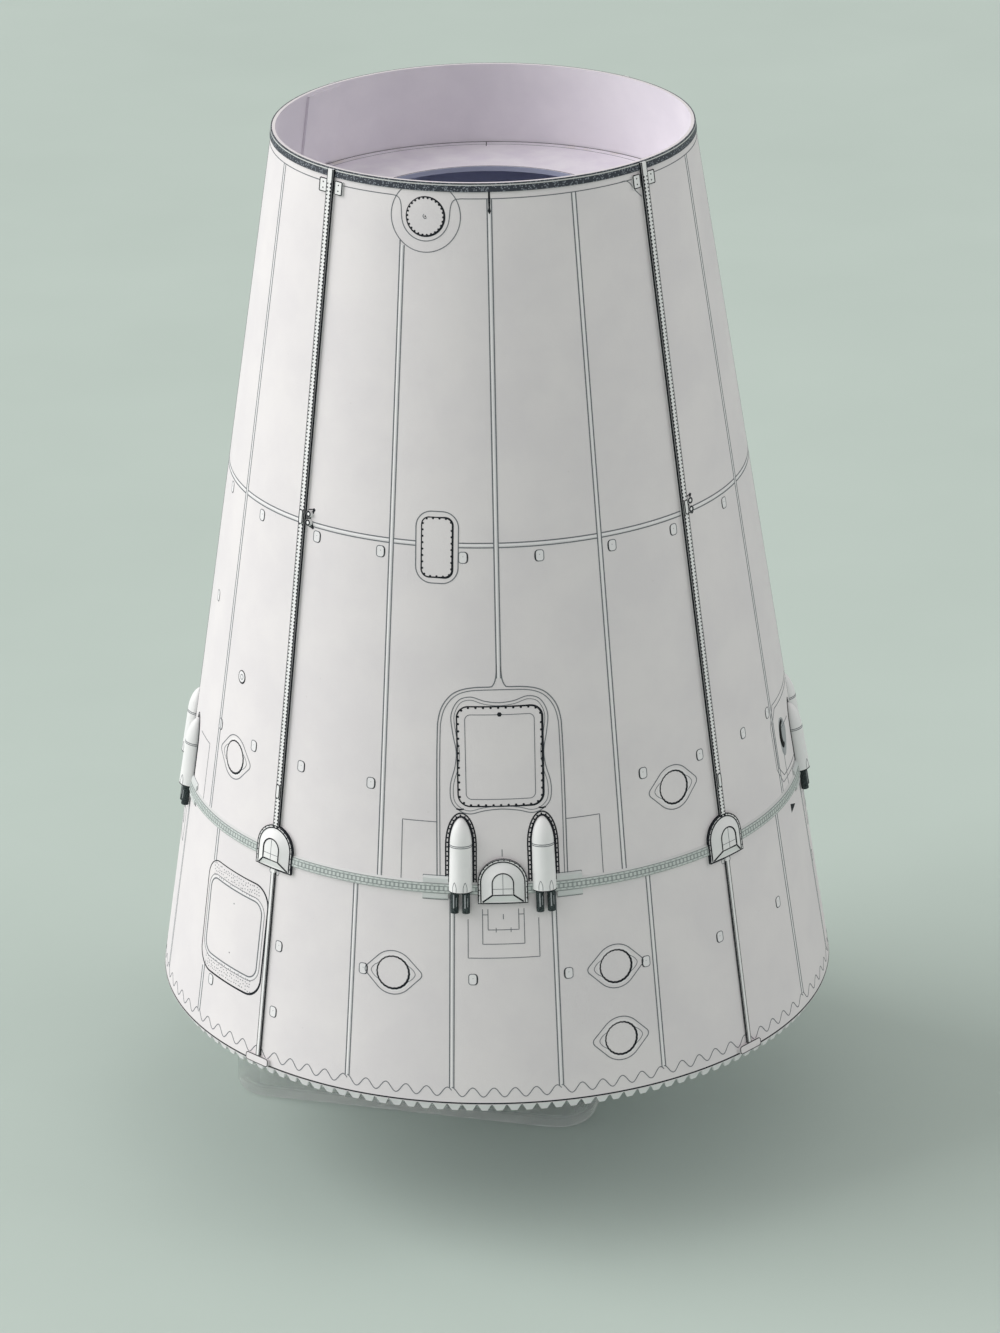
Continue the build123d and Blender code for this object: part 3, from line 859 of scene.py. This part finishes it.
# Wavy line near the base: height = middle + half height * cos(waves turns a panel), from each lower line
waveLine, edgeLines = LineWork("wave_line", greyInk), LineWork("edge_lines", darkInk)
share = np.linspace(0, 1, 84)
height = panels["waveMiddle"] + panels["waveHeight"] * np.cos(2 * math.pi * panels["waves"] * share)
for azimuth in lowerAzimuths:
    waveLine.trace(np.stack([azimuth + panels["lowerStep"] * share, height], -1), ink["thin"])
edgeLines.level(panels["edgeHeight"], 0, 360, panels["edgeWidth"], rise=ink["flat"])
buildAll(seamEnds, panelLines, highlights, waveLine, edgeLines)
print("panel lines made")

# Circle plates at the rim

plate = {"centre": (-16.6, 85.7), "outer": 3.35, "cup": 2.3, "ring": 1.84, "notches": 26,
         "cupSide": [(-2.75, -0.12), (-2.42, -0.65)],
         "figure": [(-0.12, 0.22), (-0.2, 0.0), (-0.02, -0.2), (0.16, -0.1)],
         "step": [(-3.0, 0.0), (-2.3, 0.02), (-1.8, -0.25), (-1.3, -0.95), (-0.8, -1.5), (-0.45, -1.85)]}
plateLines, plateMarks = LineWork("plate_lines", greyInk), LineWork("plate_marks", darkInk)
for turn in halves:
    azimuth, height = plate["centre"][0] + turn, plate["centre"][1]
    centre, reach = (azimuth, height), degreesFor(plate["outer"], 87)
    cut = math.degrees(math.asin((rimLow - 0.05 - height) / cosSlope / plate["outer"]))
    plateLines.draw(centre, arc((0, 0), plate["outer"], 180 - cut, 360 + cut, 90), ink["thin"])
    level = (panels["ringLine"] - height) / cosSlope
    cupSide = [(u, level + v) for u, v in plate["cupSide"]]
    side = smooth([(-plate["outer"], level), *cupSide, (-plate["cup"], -0.1)], 10)
    cup = np.vstack([side, arc((0, 0), plate["cup"], 185, 355, 60), side[::-1] * (-1, 1)])
    plateLines.draw(centre, cup, ink["thin"])
    plateLines.level(panels["ringLine"], azimuth + reach, azimuth + 180 - reach, ink["thin"])
    bearing = np.radians(np.arange(0, 360, 3))
    plateMarks.loop(centre, circlePath(plate["ring"], 120), 0.17 + 0.07 * np.cos(bearing + 0.5))
    plateMarks.spots(centre, circlePath(plate["ring"] - 0.1, plate["notches"]), 0.13)
    plateLines.draw(centre, smooth(plate["figure"], 6), 0.08)
    plateMarks.spots(centre, [(0.02, 0.02)], 0.09)
    plateLines.draw((45 + turn, panels["ringLine"]), smooth(plate["step"], 5), ink["thin"])
buildAll(plateLines, plateMarks)

# Doors, hatches, ports and buttons

# Outlines go from the top to the bottom on one side, as azimuths and heights
door = {"rivets": (8.2, 9.85, 1.15), "rivetMiddle": 34.6, "rivetStep": 0.72, "knobHeight": 38.7,
        "inner": (6.65, 8.35, 0.55), "innerMiddle": 34.55, "footPlace": (7.6, 29.42),
        "foot": [(-0.35, 0.05), (0.0, -0.02), (0.35, 0.05)],
        "outerFrame": [(0.42, 43.4), (0.5, 42.6), (0.75, 41.95), (1.2, 41.52), (1.75, 41.38), (4.5, 41.33),
                       (7.0, 41.13), (8.9, 40.72), (10.3, 40.05), (11.3, 39.2), (11.85, 38.1), (12.0, 36.8),
                       (12.0, 32.0), (11.75, bandHigh)],
        "innerFrame": [(0.0, 41.1), (4.5, 41.05), (6.9, 40.85), (8.6, 40.45), (9.9, 39.8), (10.8, 39.0),
                       (11.3, 38.0), (11.45, 36.8), (11.45, 32.0), (11.2, bandHigh)],
        "wave": [(0.0, 39.85), (2.8, 40.0), (5.6, 40.4), (8.0, 40.0), (9.35, 38.6), (9.0, 36.8), (8.35, 35.1),
                 (8.55, 33.6), (9.4, 31.8), (9.2, 30.2), (7.7, 29.3), (5.7, 29.0), (3.2, 29.3), (0.0, 29.47)]}
doorLines, doorMarks = LineWork("door_lines", greyInk), LineWork("door_marks", darkInk)


# Places (azimuth, height) as a path in millimetres round a centre: u = azimuth * R, v = rise / cos s
def aroundCentre(centre, places):
    azimuth, height = np.asarray(places, float).T
    return np.stack([np.radians(azimuth) * skinRadius(height), (height - centre[1]) / cosSlope], -1)


for turn in halves:
    centre = (turn, door["rivetMiddle"])
    outer, inner, wave = (aroundCentre(centre, door[name]) for name in ("outerFrame", "innerFrame", "wave"))
    for flip in (1, -1):
        doorLines.draw(centre, smooth(outer, 6) * (flip, 1), ink["panel"])
        doorLines.draw(centre, smooth(inner, 6) * (flip, 1), ink["thin"])
        footPlace = (turn - flip * door["footPlace"][0], door["footPlace"][1])
        doorMarks.draw(footPlace, smooth(door["foot"], 4), 0.18)
    waves = smooth(np.vstack([wave, wave[-2:0:-1] * (-1, 1)]), 6, closed=True)
    doorLines.loop(centre, waves, ink["thin"])
    doorLines.loop(centre, shifted(waves, 0.3), ink["fine"])
    rivets = platePath(*door["rivets"], 0.4)
    doorMarks.loop(centre, rivets, swell(0.16, 0.1, rivets[:, 0] / door["rivets"][0] * 2, 2))
    rivetRow = roundedRect(*np.subtract(door["rivets"], (0.24, 0.24, 0.1)))
    doorMarks.dotted(centre, rivetRow, 0.14, door["rivetStep"])
    doorLines.loop((turn, door["innerMiddle"]), platePath(*door["inner"], 0.5), 0.08)
    doorMarks.spots((turn, door["knobHeight"]), [(0, 0)], 0.27)
    print("door", turn)

# Oblong hatches on the middle ring line, with rivets inside a dark outline, and square ones at the side
sideHatch = {"centre": (-55.3, 12.1), "outer": (10.55, 11.6, 2.1), "inner": (9.0, 7.95, 1.25),
             "specks": (4.1, 0.36), "speckRows": (4.3, 5.4, 4), "scatter": 0.1, "seed": 4}
hatchLines, hatchMarks = LineWork("hatch_lines", greyInk), LineWork("hatch_marks", darkInk)
hatchFill = LineWork("hatch_fill", bareCard, "card")
for turn in halves:
    centre = (hatch["centre"][0] + turn, hatch["centre"][1])
    outer, inner = platePath(*hatch["outer"], 0.4), platePath(*hatch["inner"], 0.3)
    hatchLines.loop(centre, outer, 0.12)
    hatchMarks.loop(centre, inner, swell(0.13, 0.09, inner[:, 0]) + swell(0, 0.04, -inner[:, 1] / 3))
    rivetRow = roundedRect(*np.subtract(hatch["inner"], (0.2, 0.2, 0.1)))
    hatchMarks.dotted(centre, rivetRow, 0.125, hatch["rivetStep"])

    centre = (sideHatch["centre"][0] + turn, sideHatch["centre"][1])
    outer, inner = platePath(*sideHatch["outer"], 0.4), platePath(*sideHatch["inner"], 0.4)
    heavier = swell(0, 0.07, -outer[:, 1] / 5.5, 4)
    hatchMarks.loop(centre, outer, swell(0.13, 0.1, outer[:, 0] / 5, 2) + heavier)
    hatchLines.loop(centre, inner, 0.16)
    hatchLines.loop(centre, shifted(inner, 0.4), ink["fine"])
    hatchFill.loop(centre, shifted(inner, 0.2), 0.16, rise=0.01)
    hatchLines.spots(centre, [(0.1, 2.6), (0.1, -2.6)], 0.09)
    reach, step = sideHatch["specks"]
    seeded = np.random.default_rng(sideHatch["seed"])
    for sign in (-1, 1):
        rows = sign * np.linspace(*sideHatch["speckRows"])
        specks = np.stack(np.meshgrid(np.arange(-reach, reach + 0.05, step), rows), -1).reshape(-1, 2)
        specks = specks + seeded.uniform(-sideHatch["scatter"], sideHatch["scatter"], specks.shape)
        hatchLines.spots(centre, specks, 0.07)

# Ports: dark rings, each in a lens outline whose tips point round the card
port = {"ring": 1.63, "lens": (2.2, 0.5, 2.4), "wobble": 0.018, "fill": 0.2,
        "tip": [(1.55, 0.8), (2.0, 0.45), (2.25, 0.0), (2.0, -0.45), (1.55, -0.8)],
        "places": [(-19.4, 12.75), (19.6, 12.78), (19.7, 5.48), (34.4, 28.98), (-60.0, 29.02)]}
portLines, portMarks = LineWork("port_lines", greyInk), LineWork("port_marks", darkInk)
portFill = LineWork("port_fill", bareCard, "card")
bearing = np.radians(np.arange(0, 360, 3.75))
portRing = circlePath(1.0, 96) * (port["ring"] + port["wobble"] * np.cos(24 * bearing))[:, None]
for turn in halves:
    for azimuth, height in port["places"]:
        centre = (azimuth + turn, height)
        portLines.loop(centre, lensOutline(*port["lens"]), 0.11)
        portMarks.loop(centre, portRing, 0.2 + 0.06 * np.cos(bearing + 0.7))
        portFill.loop(centre, circlePath(port["ring"] + port["fill"], 96), 0.14, rise=0.01)
        for flip in (-1, 1):
            portLines.draw(centre, smooth(port["tip"], 6) * (flip, 1), ink["fine"])
buildAll(portLines, portMarks, portFill)

# Buttons: small rounded plates with a dark edge on the side nearer the middle, and one round one
button = {"size": (0.82, 1.08, 0.26), "roundPlace": (-60.5, 37.2), "roundRadius": 0.62, "places": [
    (-77.5, 53.9), (-59.3, 53.8), (-40.9, 53.9), (-24.9, 53.8), (-6.95, 53.8), (9.1, 53.8), (25.3, 53.8),
    (41.4, 53.7), (60.1, 53.8), (-78.1, 42.5), (-53.9, 31.25), (-40.5, 31.2), (-24.9, 31.2), (27.9, 31.2),
    (41.5, 31.2), (54.9, 31.1), (-42.5, 12.6), (-42.65, 5.8), (-24.9, 12.7), (-5.4, 12.6), (11.1, 12.8),
    (25.3, 12.6), (41.3, 12.6), (58.8, 12.55), (-60.0, 5.6), (82.2, 11.75), (65.7, 31.1), (-67.2, 31.1)]}
buttonLines, buttonMarks = LineWork("button_lines", greyInk), LineWork("button_marks", darkInk)
buttonFaces = LineWork("button_faces", bareCard, "card")
outline = roundedRect(*button["size"], 5)
x, y, bow = np.array(button["size"]) * (0.5, 0.5, 1)
edge = smooth([(x - bow, y), (x - 0.08, y - 0.1), (x, y - bow - 0.05),
               (x, bow + 0.05 - y), (x - 0.08, 0.1 - y), (x - bow, -y)], 5)
edgeWidth = 0.06 + 0.12 * np.sin(np.linspace(0, math.pi, len(edge)))
circle = circlePath(button["roundRadius"], 40)
circleWidth = 0.15 + 0.07 * np.cos(0.4 + np.linspace(0, 2 * math.pi, 40))
for turn in halves:
    for azimuth, height in button["places"]:
        centre = (azimuth + turn, height)
        buttonFaces.patch(centre, outline)
        buttonLines.loop(centre, outline, 0.09)
        buttonMarks.draw(centre, edge * (1 if azimuth < 0 else -1, 1), edgeWidth)
        buttonLines.spots(centre, [(0.0, 0.1)], 0.045)
    centre = (button["roundPlace"][0] + turn, button["roundPlace"][1])
    buttonFaces.patch(centre, circle)
    buttonMarks.loop(centre, circle, circleWidth)
    buttonLines.loop(centre, circle * 0.4, 0.08)
buildAll(buttonLines, buttonMarks, buttonFaces, hatchLines, hatchMarks, hatchFill)

# Printed surrounds of the clusters

pad = {"half": 1.47, "foot": 21.9, "spring": 25.8, "top": 29.05, "inner": 1.17, "innerTop": 28.7}
# Frames under a dome (half width, top, bottom), ticks on them and a panel at each side, in degrees and mm
frames = [(2.7, 19.6, 17.55), (3.65, 19.6, 16.13), (6.2, 18.6, 14.74)]
ticks = {"footAzimuth": 1.3, "foot": (17.3, 17.75), "rungs": (2.75, 3.6), "rungHeight": 19.05,
         "middle": ((24.8, 25.5), (18.6, 19.1))}
sidePanel = {"near": 11.9, "far": 18.4, "top": 28.1}
clusterLines, clusterMarks = LineWork("cluster_lines", greyInk), LineWork("cluster_marks", darkInk)
for azimuth in quarters.values():
    for side in (-1, 1):
        near, far, top = side * sidePanel["near"], side * sidePanel["far"], sidePanel["top"]
        centre = (azimuth, top)
        box = divided(aroundCentre(centre, [(near, top), (far, top), (far, bandHigh)]), 0.4)
        clusterLines.draw(centre, box, 0.09)
        centre = (azimuth + side * thruster["azimuth"], thruster["bottom"])
        low, spring, top, innerTop = ((pad[name] - centre[1]) / cosSlope
                                      for name in ("foot", "spring", "top", "innerTop"))
        clusterMarks.draw(centre, divided(archPath(pad["half"], low, spring, top), 0.4), 0.17)
        inner = divided(archPath(pad["inner"], low, spring, innerTop), 0.4)
        clusterMarks.draw(centre, inner, swell(0.22, 0.12, inner[:, 0]))
        between = archPath((pad["half"] + pad["inner"]) / 2, low, spring, top - 0.2)
        clusterMarks.dotted(centre, between, 0.1, 0.46, closed=False)
        # Outline of the cover strips: along their far edges and up their outer ends
        near, far = azimuth + side * coverStart, azimuth + side * (coverStart + ring["coverSpan"])
        low, high = (jointHeight + end * (ring["coverHeight"] / 2 + 0.04) for end in (-1, 1))
        for height in (low, high):
            clusterLines.level(height, near, far, ink["fine"])
        clusterLines.upright(far, low, high, ink["fine"])
    for half, top, bottom in frames:
        centre = (azimuth, bottom)
        box = aroundCentre(centre, [(-half, top), (-half, bottom), (half, bottom), (half, top)])
        clusterLines.draw(centre, divided(box, 0.4), 0.085)
    for flip in (-1, 1):
        clusterLines.upright(azimuth + flip * ticks["footAzimuth"], *ticks["foot"], 0.08)
        clusterLines.trace([(azimuth + flip * end, ticks["rungHeight"]) for end in ticks["rungs"]], 0.08)
    for low, high in ticks["middle"]:
        clusterLines.upright(azimuth, low, high, 0.09)

# Framed window beside the right and left clusters, with a broad curved mark in it
window = {"centre": (72.3, 27.4), "half": 2.6, "low": 23.6, "high": 30.7, "cut": 1.3, "reach": 4.0,
          "shape": [(-0.3, 1.75), (0.9, 1.4), (1.6, 0.1), (1.0, -1.5), (0.1, -2.3), (-0.8, -1.4),
                    (-0.9, 0.6)],
          "mark": [(0.5, 1.35), (-0.2, 1.1), (-0.5, 0.3), (-0.45, -0.5), (-0.05, -1.1), (0.35, -1.0)],
          "arrowPlace": (72.1, 19.75), "arrow": [(-0.75, 0.5), (0.95, -0.15), (-0.75, -0.45)]}
windowFill, windowMark = LineWork("window_fill", paleInk), LineWork("window_mark", blackInk)
for turn in halves:
    centre = (window["centre"][0] + turn, window["centre"][1])
    low, high = ((window[end] - centre[1]) / cosSlope for end in ("low", "high"))
    for grow, width in ((0.0, 0.1), (0.55, 0.08)):
        half, cut, reach = window["half"] + grow, window["cut"], window["half"] + grow + window["reach"]
        box = [(reach, low - grow), (-half + cut, low - grow), (-half, low + cut), (-half, high - cut),
               (-half + cut, high + grow), (reach, high + grow)]
        clusterLines.draw(centre, divided(np.array(box), 0.4), width)
    windowFill.patch(centre, smooth(window["shape"], 8, closed=True), rise=0.01)
    mark = smooth(window["mark"], 8)
    windowMark.draw(centre, mark, 0.35 + 0.6 * np.sin(np.linspace(0.1, math.pi, len(mark))), rise=0.03)
    arrow = divided(np.array(window["arrow"]), 0.2, closed=True)
    clusterMarks.patch((window["arrowPlace"][0] + turn, window["arrowPlace"][1]), arrow)
buildAll(windowFill, windowMark, clusterLines, clusterMarks, doorLines, doorMarks)
print("surrounds made")

# Ink on the domes

fittingLines, fittingMarks = LineWork("fitting_lines", greyInk), LineWork("fitting_marks", darkInk)
top, toe = dome["depth"], dome["toe"]
innerArch = archOutline(dome["width"] + 0.12, dome["height"] + 0.12, -0.06, dome["steps"])
topArch = archOutline(dome["topWidth"], dome["topHeight"], toe, dome["steps"])
rungs = archPath(dome["width"] / 2 + dome["flange"] / 2 + 0.04, 0.2, dome["height"] - dome["width"] / 2,
                 dome["height"] + dome["flange"] / 2 + 0.04)
rungs = pointsAt(rungs, np.arange(0.2, lengthAlong(rungs)[-1], 0.55))
for place, azimuth in {**quarters, **corners}.items():
    centre, lift = (azimuth, dome["bottom"]), dome["flangeDepth"]
    side = 0 if place in quarters else (1 if azimuth % 180 == 135 else -1)
    flangeWidths = swell(0.12, 0.04, flangeArch[:, 0] * side)
    fittingMarks.loop(centre, shifted(flangeArch, -0.06), flangeWidths, lift=lift)
    fittingMarks.loop(centre, innerArch, swell(0.14, 0.05, innerArch[:, 0] * side), lift=lift)
    wallPoints, further = (wrapped(centre, shifted(flangeArch, away), lift / 2)[0] for away in (0, 0.1))
    fittingMarks.line(wallPoints, unit(further - wallPoints), lift - 0.06, closed=True, rise=0.01)
    fittingMarks.dots(*wrapped(centre, rungs, lift), 0.07)
    fittingMarks.face(centre, topArch, top, swell(0.12, 0.09, -topArch[:, 0] * side), closed=True)
    w = np.linspace(top, lift - 0.04, 5)
    for flip in (-1, 1):
        u = flip / 2 * (dome["width"] + (dome["topWidth"] - dome["width"]) * domeShare(w))
        fittingMarks.face(centre, np.stack([u, toe * domeShare(w)], -1), w + 0.01, 0.16)
    cross, reach = toe + dome["crossRise"], dome["crossReach"]
    fittingLines.face(centre, [(-reach, cross), (reach, cross)], top, 0.05)
    fittingLines.face(centre, [(0, toe + 0.05), (0, toe + dome["topHeight"] - 0.05)], top, 0.05)

# Ink on the thrusters and nozzles

radius, shoulder = thruster["width"] / 2, thruster["depth"] - thruster["width"] / 2
waistRing, footRing = thrusterSection(thruster["waist"] + 0.004)[2:], thrusterSection(1.0)[2:]
rings = [(fittingLines, waistRing, thruster["body"] - 0.14, shoulder * thruster["waist"], 0.09),
         (fittingLines, waistRing, thruster["body"] + 0.02, shoulder * thruster["waist"], 0.09),
         (fittingMarks, footRing, 0.04, shoulder, 0.1)]
pointed = smooth([(-0.2, 0.12), (-0.2, 0.55), (-0.12, 0.85), (0.0, 1.08),
                  (0.12, 0.85), (0.2, 0.55), (0.2, 0.12)], 4)
# Painted highlights along a nozzle, as pale streaks: bearing round it, width, and how far down it they start
# and end
highlightStreaks = [(100, 0.13, 0.2, 1.55), (60, 0.07, 0.5, 1.4)]
nozzleHighlights = LineWork("nozzle_painted_highlights", paleInk)
for centre in [(azimuth + sign * thruster["azimuth"], thruster["bottom"])
               for azimuth in quarters.values() for sign in (-1, 1)]:
    for work, section, rise, middle, width in rings:
        points = onFitting(centre, section[:, 0], rise, section[:, 1])
        work.away(points, onFitting(centre, 0.0, rise, middle), width)
    for shift in (-0.5 * nozzle["spacing"], 0.5 * nozzle["spacing"]):
        # Pointed arch on the foot, bent round the section
        bearing, rise = (shift + pointed[:, 0]) / radius, pointed[:, 1]
        shrink = 1 - (1 - thruster["waist"]) * rise / thruster["body"]
        u, w = radius * np.sin(bearing) * shrink, (shoulder + radius * np.cos(bearing)) * shrink
        fittingLines.away(onFitting(centre, u, rise, w), onFitting(centre, 0.0, rise, shoulder), 0.06)
        for bearing, width, start, end in highlightStreaks:
            turn, v = math.radians(bearing), -np.linspace(start, end, 5)
            points = onFitting(centre, shift + nozzle["radius"] * math.cos(turn), v,
                               nozzle["standoff"] + nozzle["radius"] * math.sin(turn))
            nozzleHighlights.away(points, onFitting(centre, shift, v, nozzle["standoff"]), width, rise=0.01)

# Ink on the raceways

raceway = {"width": 0.75, "depth": 0.35, "lower": 0.45, "lowerDepth": 0.25, "top": coneHeight - 0.1,
           "foot": 0.85, "dots": ((0.17, 0.13), (0.16, 0.095)), "dotStep": 0.36,
           "cap": (1.25, 0.44, 0.15), "capDrop": 0.5,
           "plate": (3.0, 0.76, 0.25), "plateMiddle": 0.38, "lug": (0.9, 1.24, 0.08), "lugOffset": 1.0,
           "clip": (0.42, 1.36, 0.2), "clipHeights": (28.1, 55.5), "loop": (0.825, 0.425), "loopRadius": 0.24,
           "stroke": [(0.4, 0.02), (0.75, 0.06), (1.05, 0.5), (1.3, 0.98)],
           "hook": [(0.42, 0.1), (0.56, 0.72), (1.0, 0.88), (1.28, 1.0)]}
stripCaps = LineWork("strip_caps", bareCard, "card")
lugHeight = (heightOf("raceway_lugs", 0) + heightOf("raceway_lugs", 1)) / 2


# Dark wall on one side of a strip, and dark edges (side and width) along its face
def stripEdges(centre, side, half, depth, wallMiddle, length, edges):
    v = np.linspace(0, length, 2)
    across = onFitting(centre, side, 0, 0) - onFitting(centre, 0, 0, 0)
    wallPoints = onFitting(centre, side * half, v, wallMiddle)
    fittingMarks.line(wallPoints, np.tile(across, (2, 1)), depth - 0.05, rise=0.012)
    for flip, width in edges:
        fittingMarks.face(centre, np.stack([flip * (half - width / 2) + 0 * v, v], -1), depth, width)


for azimuth in corners.values():
    side = 1 if azimuth % 180 == 135 else -1
    half, depth = raceway["width"] / 2, raceway["depth"]
    bottom = dome["bottom"] + dome["height"] * cosSlope
    centre, length = (azimuth, bottom), (raceway["top"] - bottom) / cosSlope
    stripEdges(centre, side, half, depth, depth / 2 + 0.02, length, ((side, 0.15), (-side, 0.06)))
    steps = np.arange(0.2, length - 1.2, raceway["dotStep"])
    for flip, (inset, radius) in zip((side, -side), raceway["dots"]):
        row = np.stack([flip * (half - inset) + 0 * steps, steps], -1)
        fittingMarks.faceSpots(centre, row, depth, radius)
    heights = np.linspace(bottom + 0.3, raceway["top"] - 1.0, 24)
    fittingMarks.beside(azimuth, -side * (half + 0.04), heights, 0.06)
    # Lower strip: a thin dark line on its inner side and a wider grey one on its outer side
    half, depth, foot = raceway["lower"] / 2, raceway["lowerDepth"], raceway["foot"]
    heights = np.linspace(foot, dome["bottom"] - 0.4, 12)
    fittingMarks.beside(azimuth, side * (half + 0.02), heights, 0.06)
    fittingLines.beside(azimuth, -side * (half + 0.05), heights, 0.12)
    length = (dome["bottom"] - raceway["capDrop"] - foot) / cosSlope
    stripEdges((azimuth, foot), side, half, depth, depth / 2, length, ((side, 0.08), (-side, 0.06)))
    # White cap under the dome, seen on both sides of the lower strip, and the foot plate's outline
    centre, cap = (azimuth, dome["bottom"] - raceway["capDrop"]), roundedRect(*raceway["cap"], 4)
    stripCaps.patch(centre, cap)
    fittingLines.loop(centre, cap, ink["fine"])
    footPlate = platePath(*raceway["plate"], 0.5, 5) + (0, raceway["plateMiddle"])
    fittingMarks.face((azimuth, 0.1), footPlate, 0.3, 0.08, closed=True)
    # Lugs: dark outline, thicker on the far side, and two stacked dots. Loops, with two strokes each
    for flip in (-1, 1):
        centre, u = (azimuth, lugHeight), flip * raceway["lugOffset"]
        rect = platePath(*raceway["lug"], 0.3, 3)
        fittingMarks.face(centre, rect + (u, 0), 0.15, swell(0.09, 0.07, rect[:, 0] * flip), closed=True)
        fittingMarks.faceSpots(centre, [(u, -0.28), (u, 0.28)], 0.15, 0.09)
        centre = (azimuth, raceway["clipHeights"][1])
        loop = circlePath(raceway["loopRadius"], 24) + np.multiply(raceway["loop"], (1, flip))
        fittingMarks.face(centre, loop, 0.3, 0.19, closed=True)
        fittingMarks.draw(centre, smooth(raceway["stroke"], 5) * (1, flip), 0.3, rise=0.03)
        fittingMarks.draw(centre, smooth(raceway["hook"], 5) * (1, flip), 0.12)
    for height in raceway["clipHeights"]:
        clip = platePath(*raceway["clip"], 0.3, 7)
        fittingMarks.face((azimuth, height), clip, raceway["depth"] + 0.15, 0.09, closed=True)
buildAll(fittingLines, fittingMarks, stripCaps, nozzleHighlights)
print("fittings inked")

# Printed lines inside

drops = {"count": 46, "seed": 11, "inset": (0.1, 0.5), "radius": (0.08, 0.28)}
seam = {"azimuth": -129.2, "half": 6.9}
insideLines, insideMarks = LineWork("inside_lines", greyInk), LineWork("inside_marks", darkInk)
glueSpots = LineWork("glue_spots", gluePaint, "card")


# Points on the shelf's top with their normals: (r sin a, -r cos a, top)
def onShelf(radius, turn):
    points = aroundAxis(radius, turn, edgeZ + shelfTop)
    return points, np.tile((0.0, 0.0, 1.0), (len(points), 1))


wallRadius = skinRadius(shelfTop) - inward
for work, radius, width in ((insideMarks, wallRadius - 0.06, 0.09), (insideLines, wallRadius - 0.95, 0.06),
                            (insideMarks, inside["holeRadius"] + 0.12, 0.08)):
    work.line(*onShelf(radius, np.radians(np.arange(360))), width, closed=True)
for azimuth in quarters.values():
    across = np.linspace(wallRadius - 1.5, wallRadius - 0.2, 3)
    insideMarks.line(*onShelf(across, math.radians(azimuth + 178)), 0.1)
# Dried glue along the shelf's edge, of seeded sizes and places. The drops have no shape and don't show:
# the shelf's normals are upright, which the dots can't take
seeded = np.random.default_rng(drops["seed"])
spread = seeded.uniform(0, 2 * math.pi, drops["count"])
reach = wallRadius - seeded.uniform(*drops["inset"], drops["count"])
glueSpots.dots(*onShelf(reach, spread), seeded.uniform(*drops["radius"], drops["count"]))
# Seam of the card, up the inner wall at both edges of the strip behind it
heights = np.linspace(shelfTop + 0.3, coneHeight - 0.3, 3)
for offset, width in ((-seam["half"], 0.09), (seam["half"], 0.05)):
    azimuth = seam["azimuth"] + offset
    points = aroundAxis(skinRadius(heights) - inward, math.radians(azimuth), edgeZ + heights)
    insideLines.line(points, np.tile(-skinNormal(azimuth), (3, 1)), width)
buildAll(glueSpots, insideLines, insideMarks)
print("inside made")

# Floor, light and camera

stage = {"radius": 2.5, "floor": chart(192, 206, 198), "sky": 0.55, "skyColour": (1.0, 0.985, 0.98, 1.0),
         "drop": 0.00005}
floorPaint = Paint("floor_paper")
floorCloud = floorPaint.noise(60.0, 3.0)
floorColour = floorPaint.blend(floorPaint.ramp(floorCloud, 0.3, 0.7), stage["floor"], chart(188, 202, 194))
floorMaterial = floorPaint.finish(Base_Color=floorColour, Roughness=0.85, Specular_IOR_Level=0.1)
sides = np.radians(np.arange(0, 360, 5))
floorMesh = bpy.data.meshes.new("floor")
floorPoints = np.stack([np.cos(sides), np.sin(sides), 0 * sides], -1) * stage["radius"] - (0, 0, stage["drop"])
floorMesh.from_pydata(floorPoints.tolist(), [], [list(range(len(sides)))])
floorMesh.materials.append(floorMaterial)
floor = bpy.data.objects.new("floor", floorMesh)
bpy.context.scene.collection.objects.link(floor)

world = bpy.data.worlds.new("studio")
bpy.context.scene.world = world
world.use_nodes = True
background = world.node_tree.nodes["Background"]
background.inputs["Color"].default_value = stage["skyColour"]
background.inputs["Strength"].default_value = stage["sky"]

target = Vector((0, 0, 0.06))


# Soft lamp aimed at the object: place = target + distance (sin a cos e, -cos a cos e, sin e)
def addLamp(name, azimuth, elevation, distance, size, power, colour):
    turn, lift = math.radians(azimuth), math.radians(elevation)
    away = Vector((math.sin(turn) * math.cos(lift), -math.cos(turn) * math.cos(lift), math.sin(lift)))
    lamp = bpy.data.lights.new(name, "AREA")
    lamp.shape, lamp.size, lamp.energy, lamp.color = "DISK", size, power, colour
    holder = bpy.data.objects.new(name, lamp)
    holder.location = target + away * distance
    holder.rotation_euler = (-away).to_track_quat("-Z", "Y").to_euler()
    bpy.context.scene.collection.objects.link(holder)


addLamp("key_lamp", azimuth=-92, elevation=30, distance=3.2, size=3.4, power=96.0, colour=(1.0, 0.985, 0.98))
addLamp("fill_lamp", azimuth=85, elevation=30, distance=1.0, size=0.6, power=1.4, colour=(1.0, 0.99, 0.98))

camera = {"place": (-9.26, -439.81, 234.95), "turn": -1.308, "tip": 22.985, "roll": -0.923, "lens": 127.48}
lens = bpy.data.cameras.new("camera")
lens.lens, lens.sensor_width, lens.clip_start, lens.clip_end = camera["lens"], 36.0, 0.01, 20.0
viewer = bpy.data.objects.new("camera", lens)
viewer.matrix_world = (
    Matrix.Translation(Vector(camera["place"]) * millimetre)
    @ Matrix.Rotation(math.radians(camera["turn"]), 4, "Z")
    @ Matrix.Rotation(math.radians(90 - camera["tip"]), 4, "X")
    @ Matrix.Rotation(math.radians(camera["roll"]), 4, "Z")
)
bpy.context.scene.collection.objects.link(viewer)
bpy.context.scene.camera = viewer
bpy.context.scene.view_settings.view_transform = "Standard"
print("stage made")
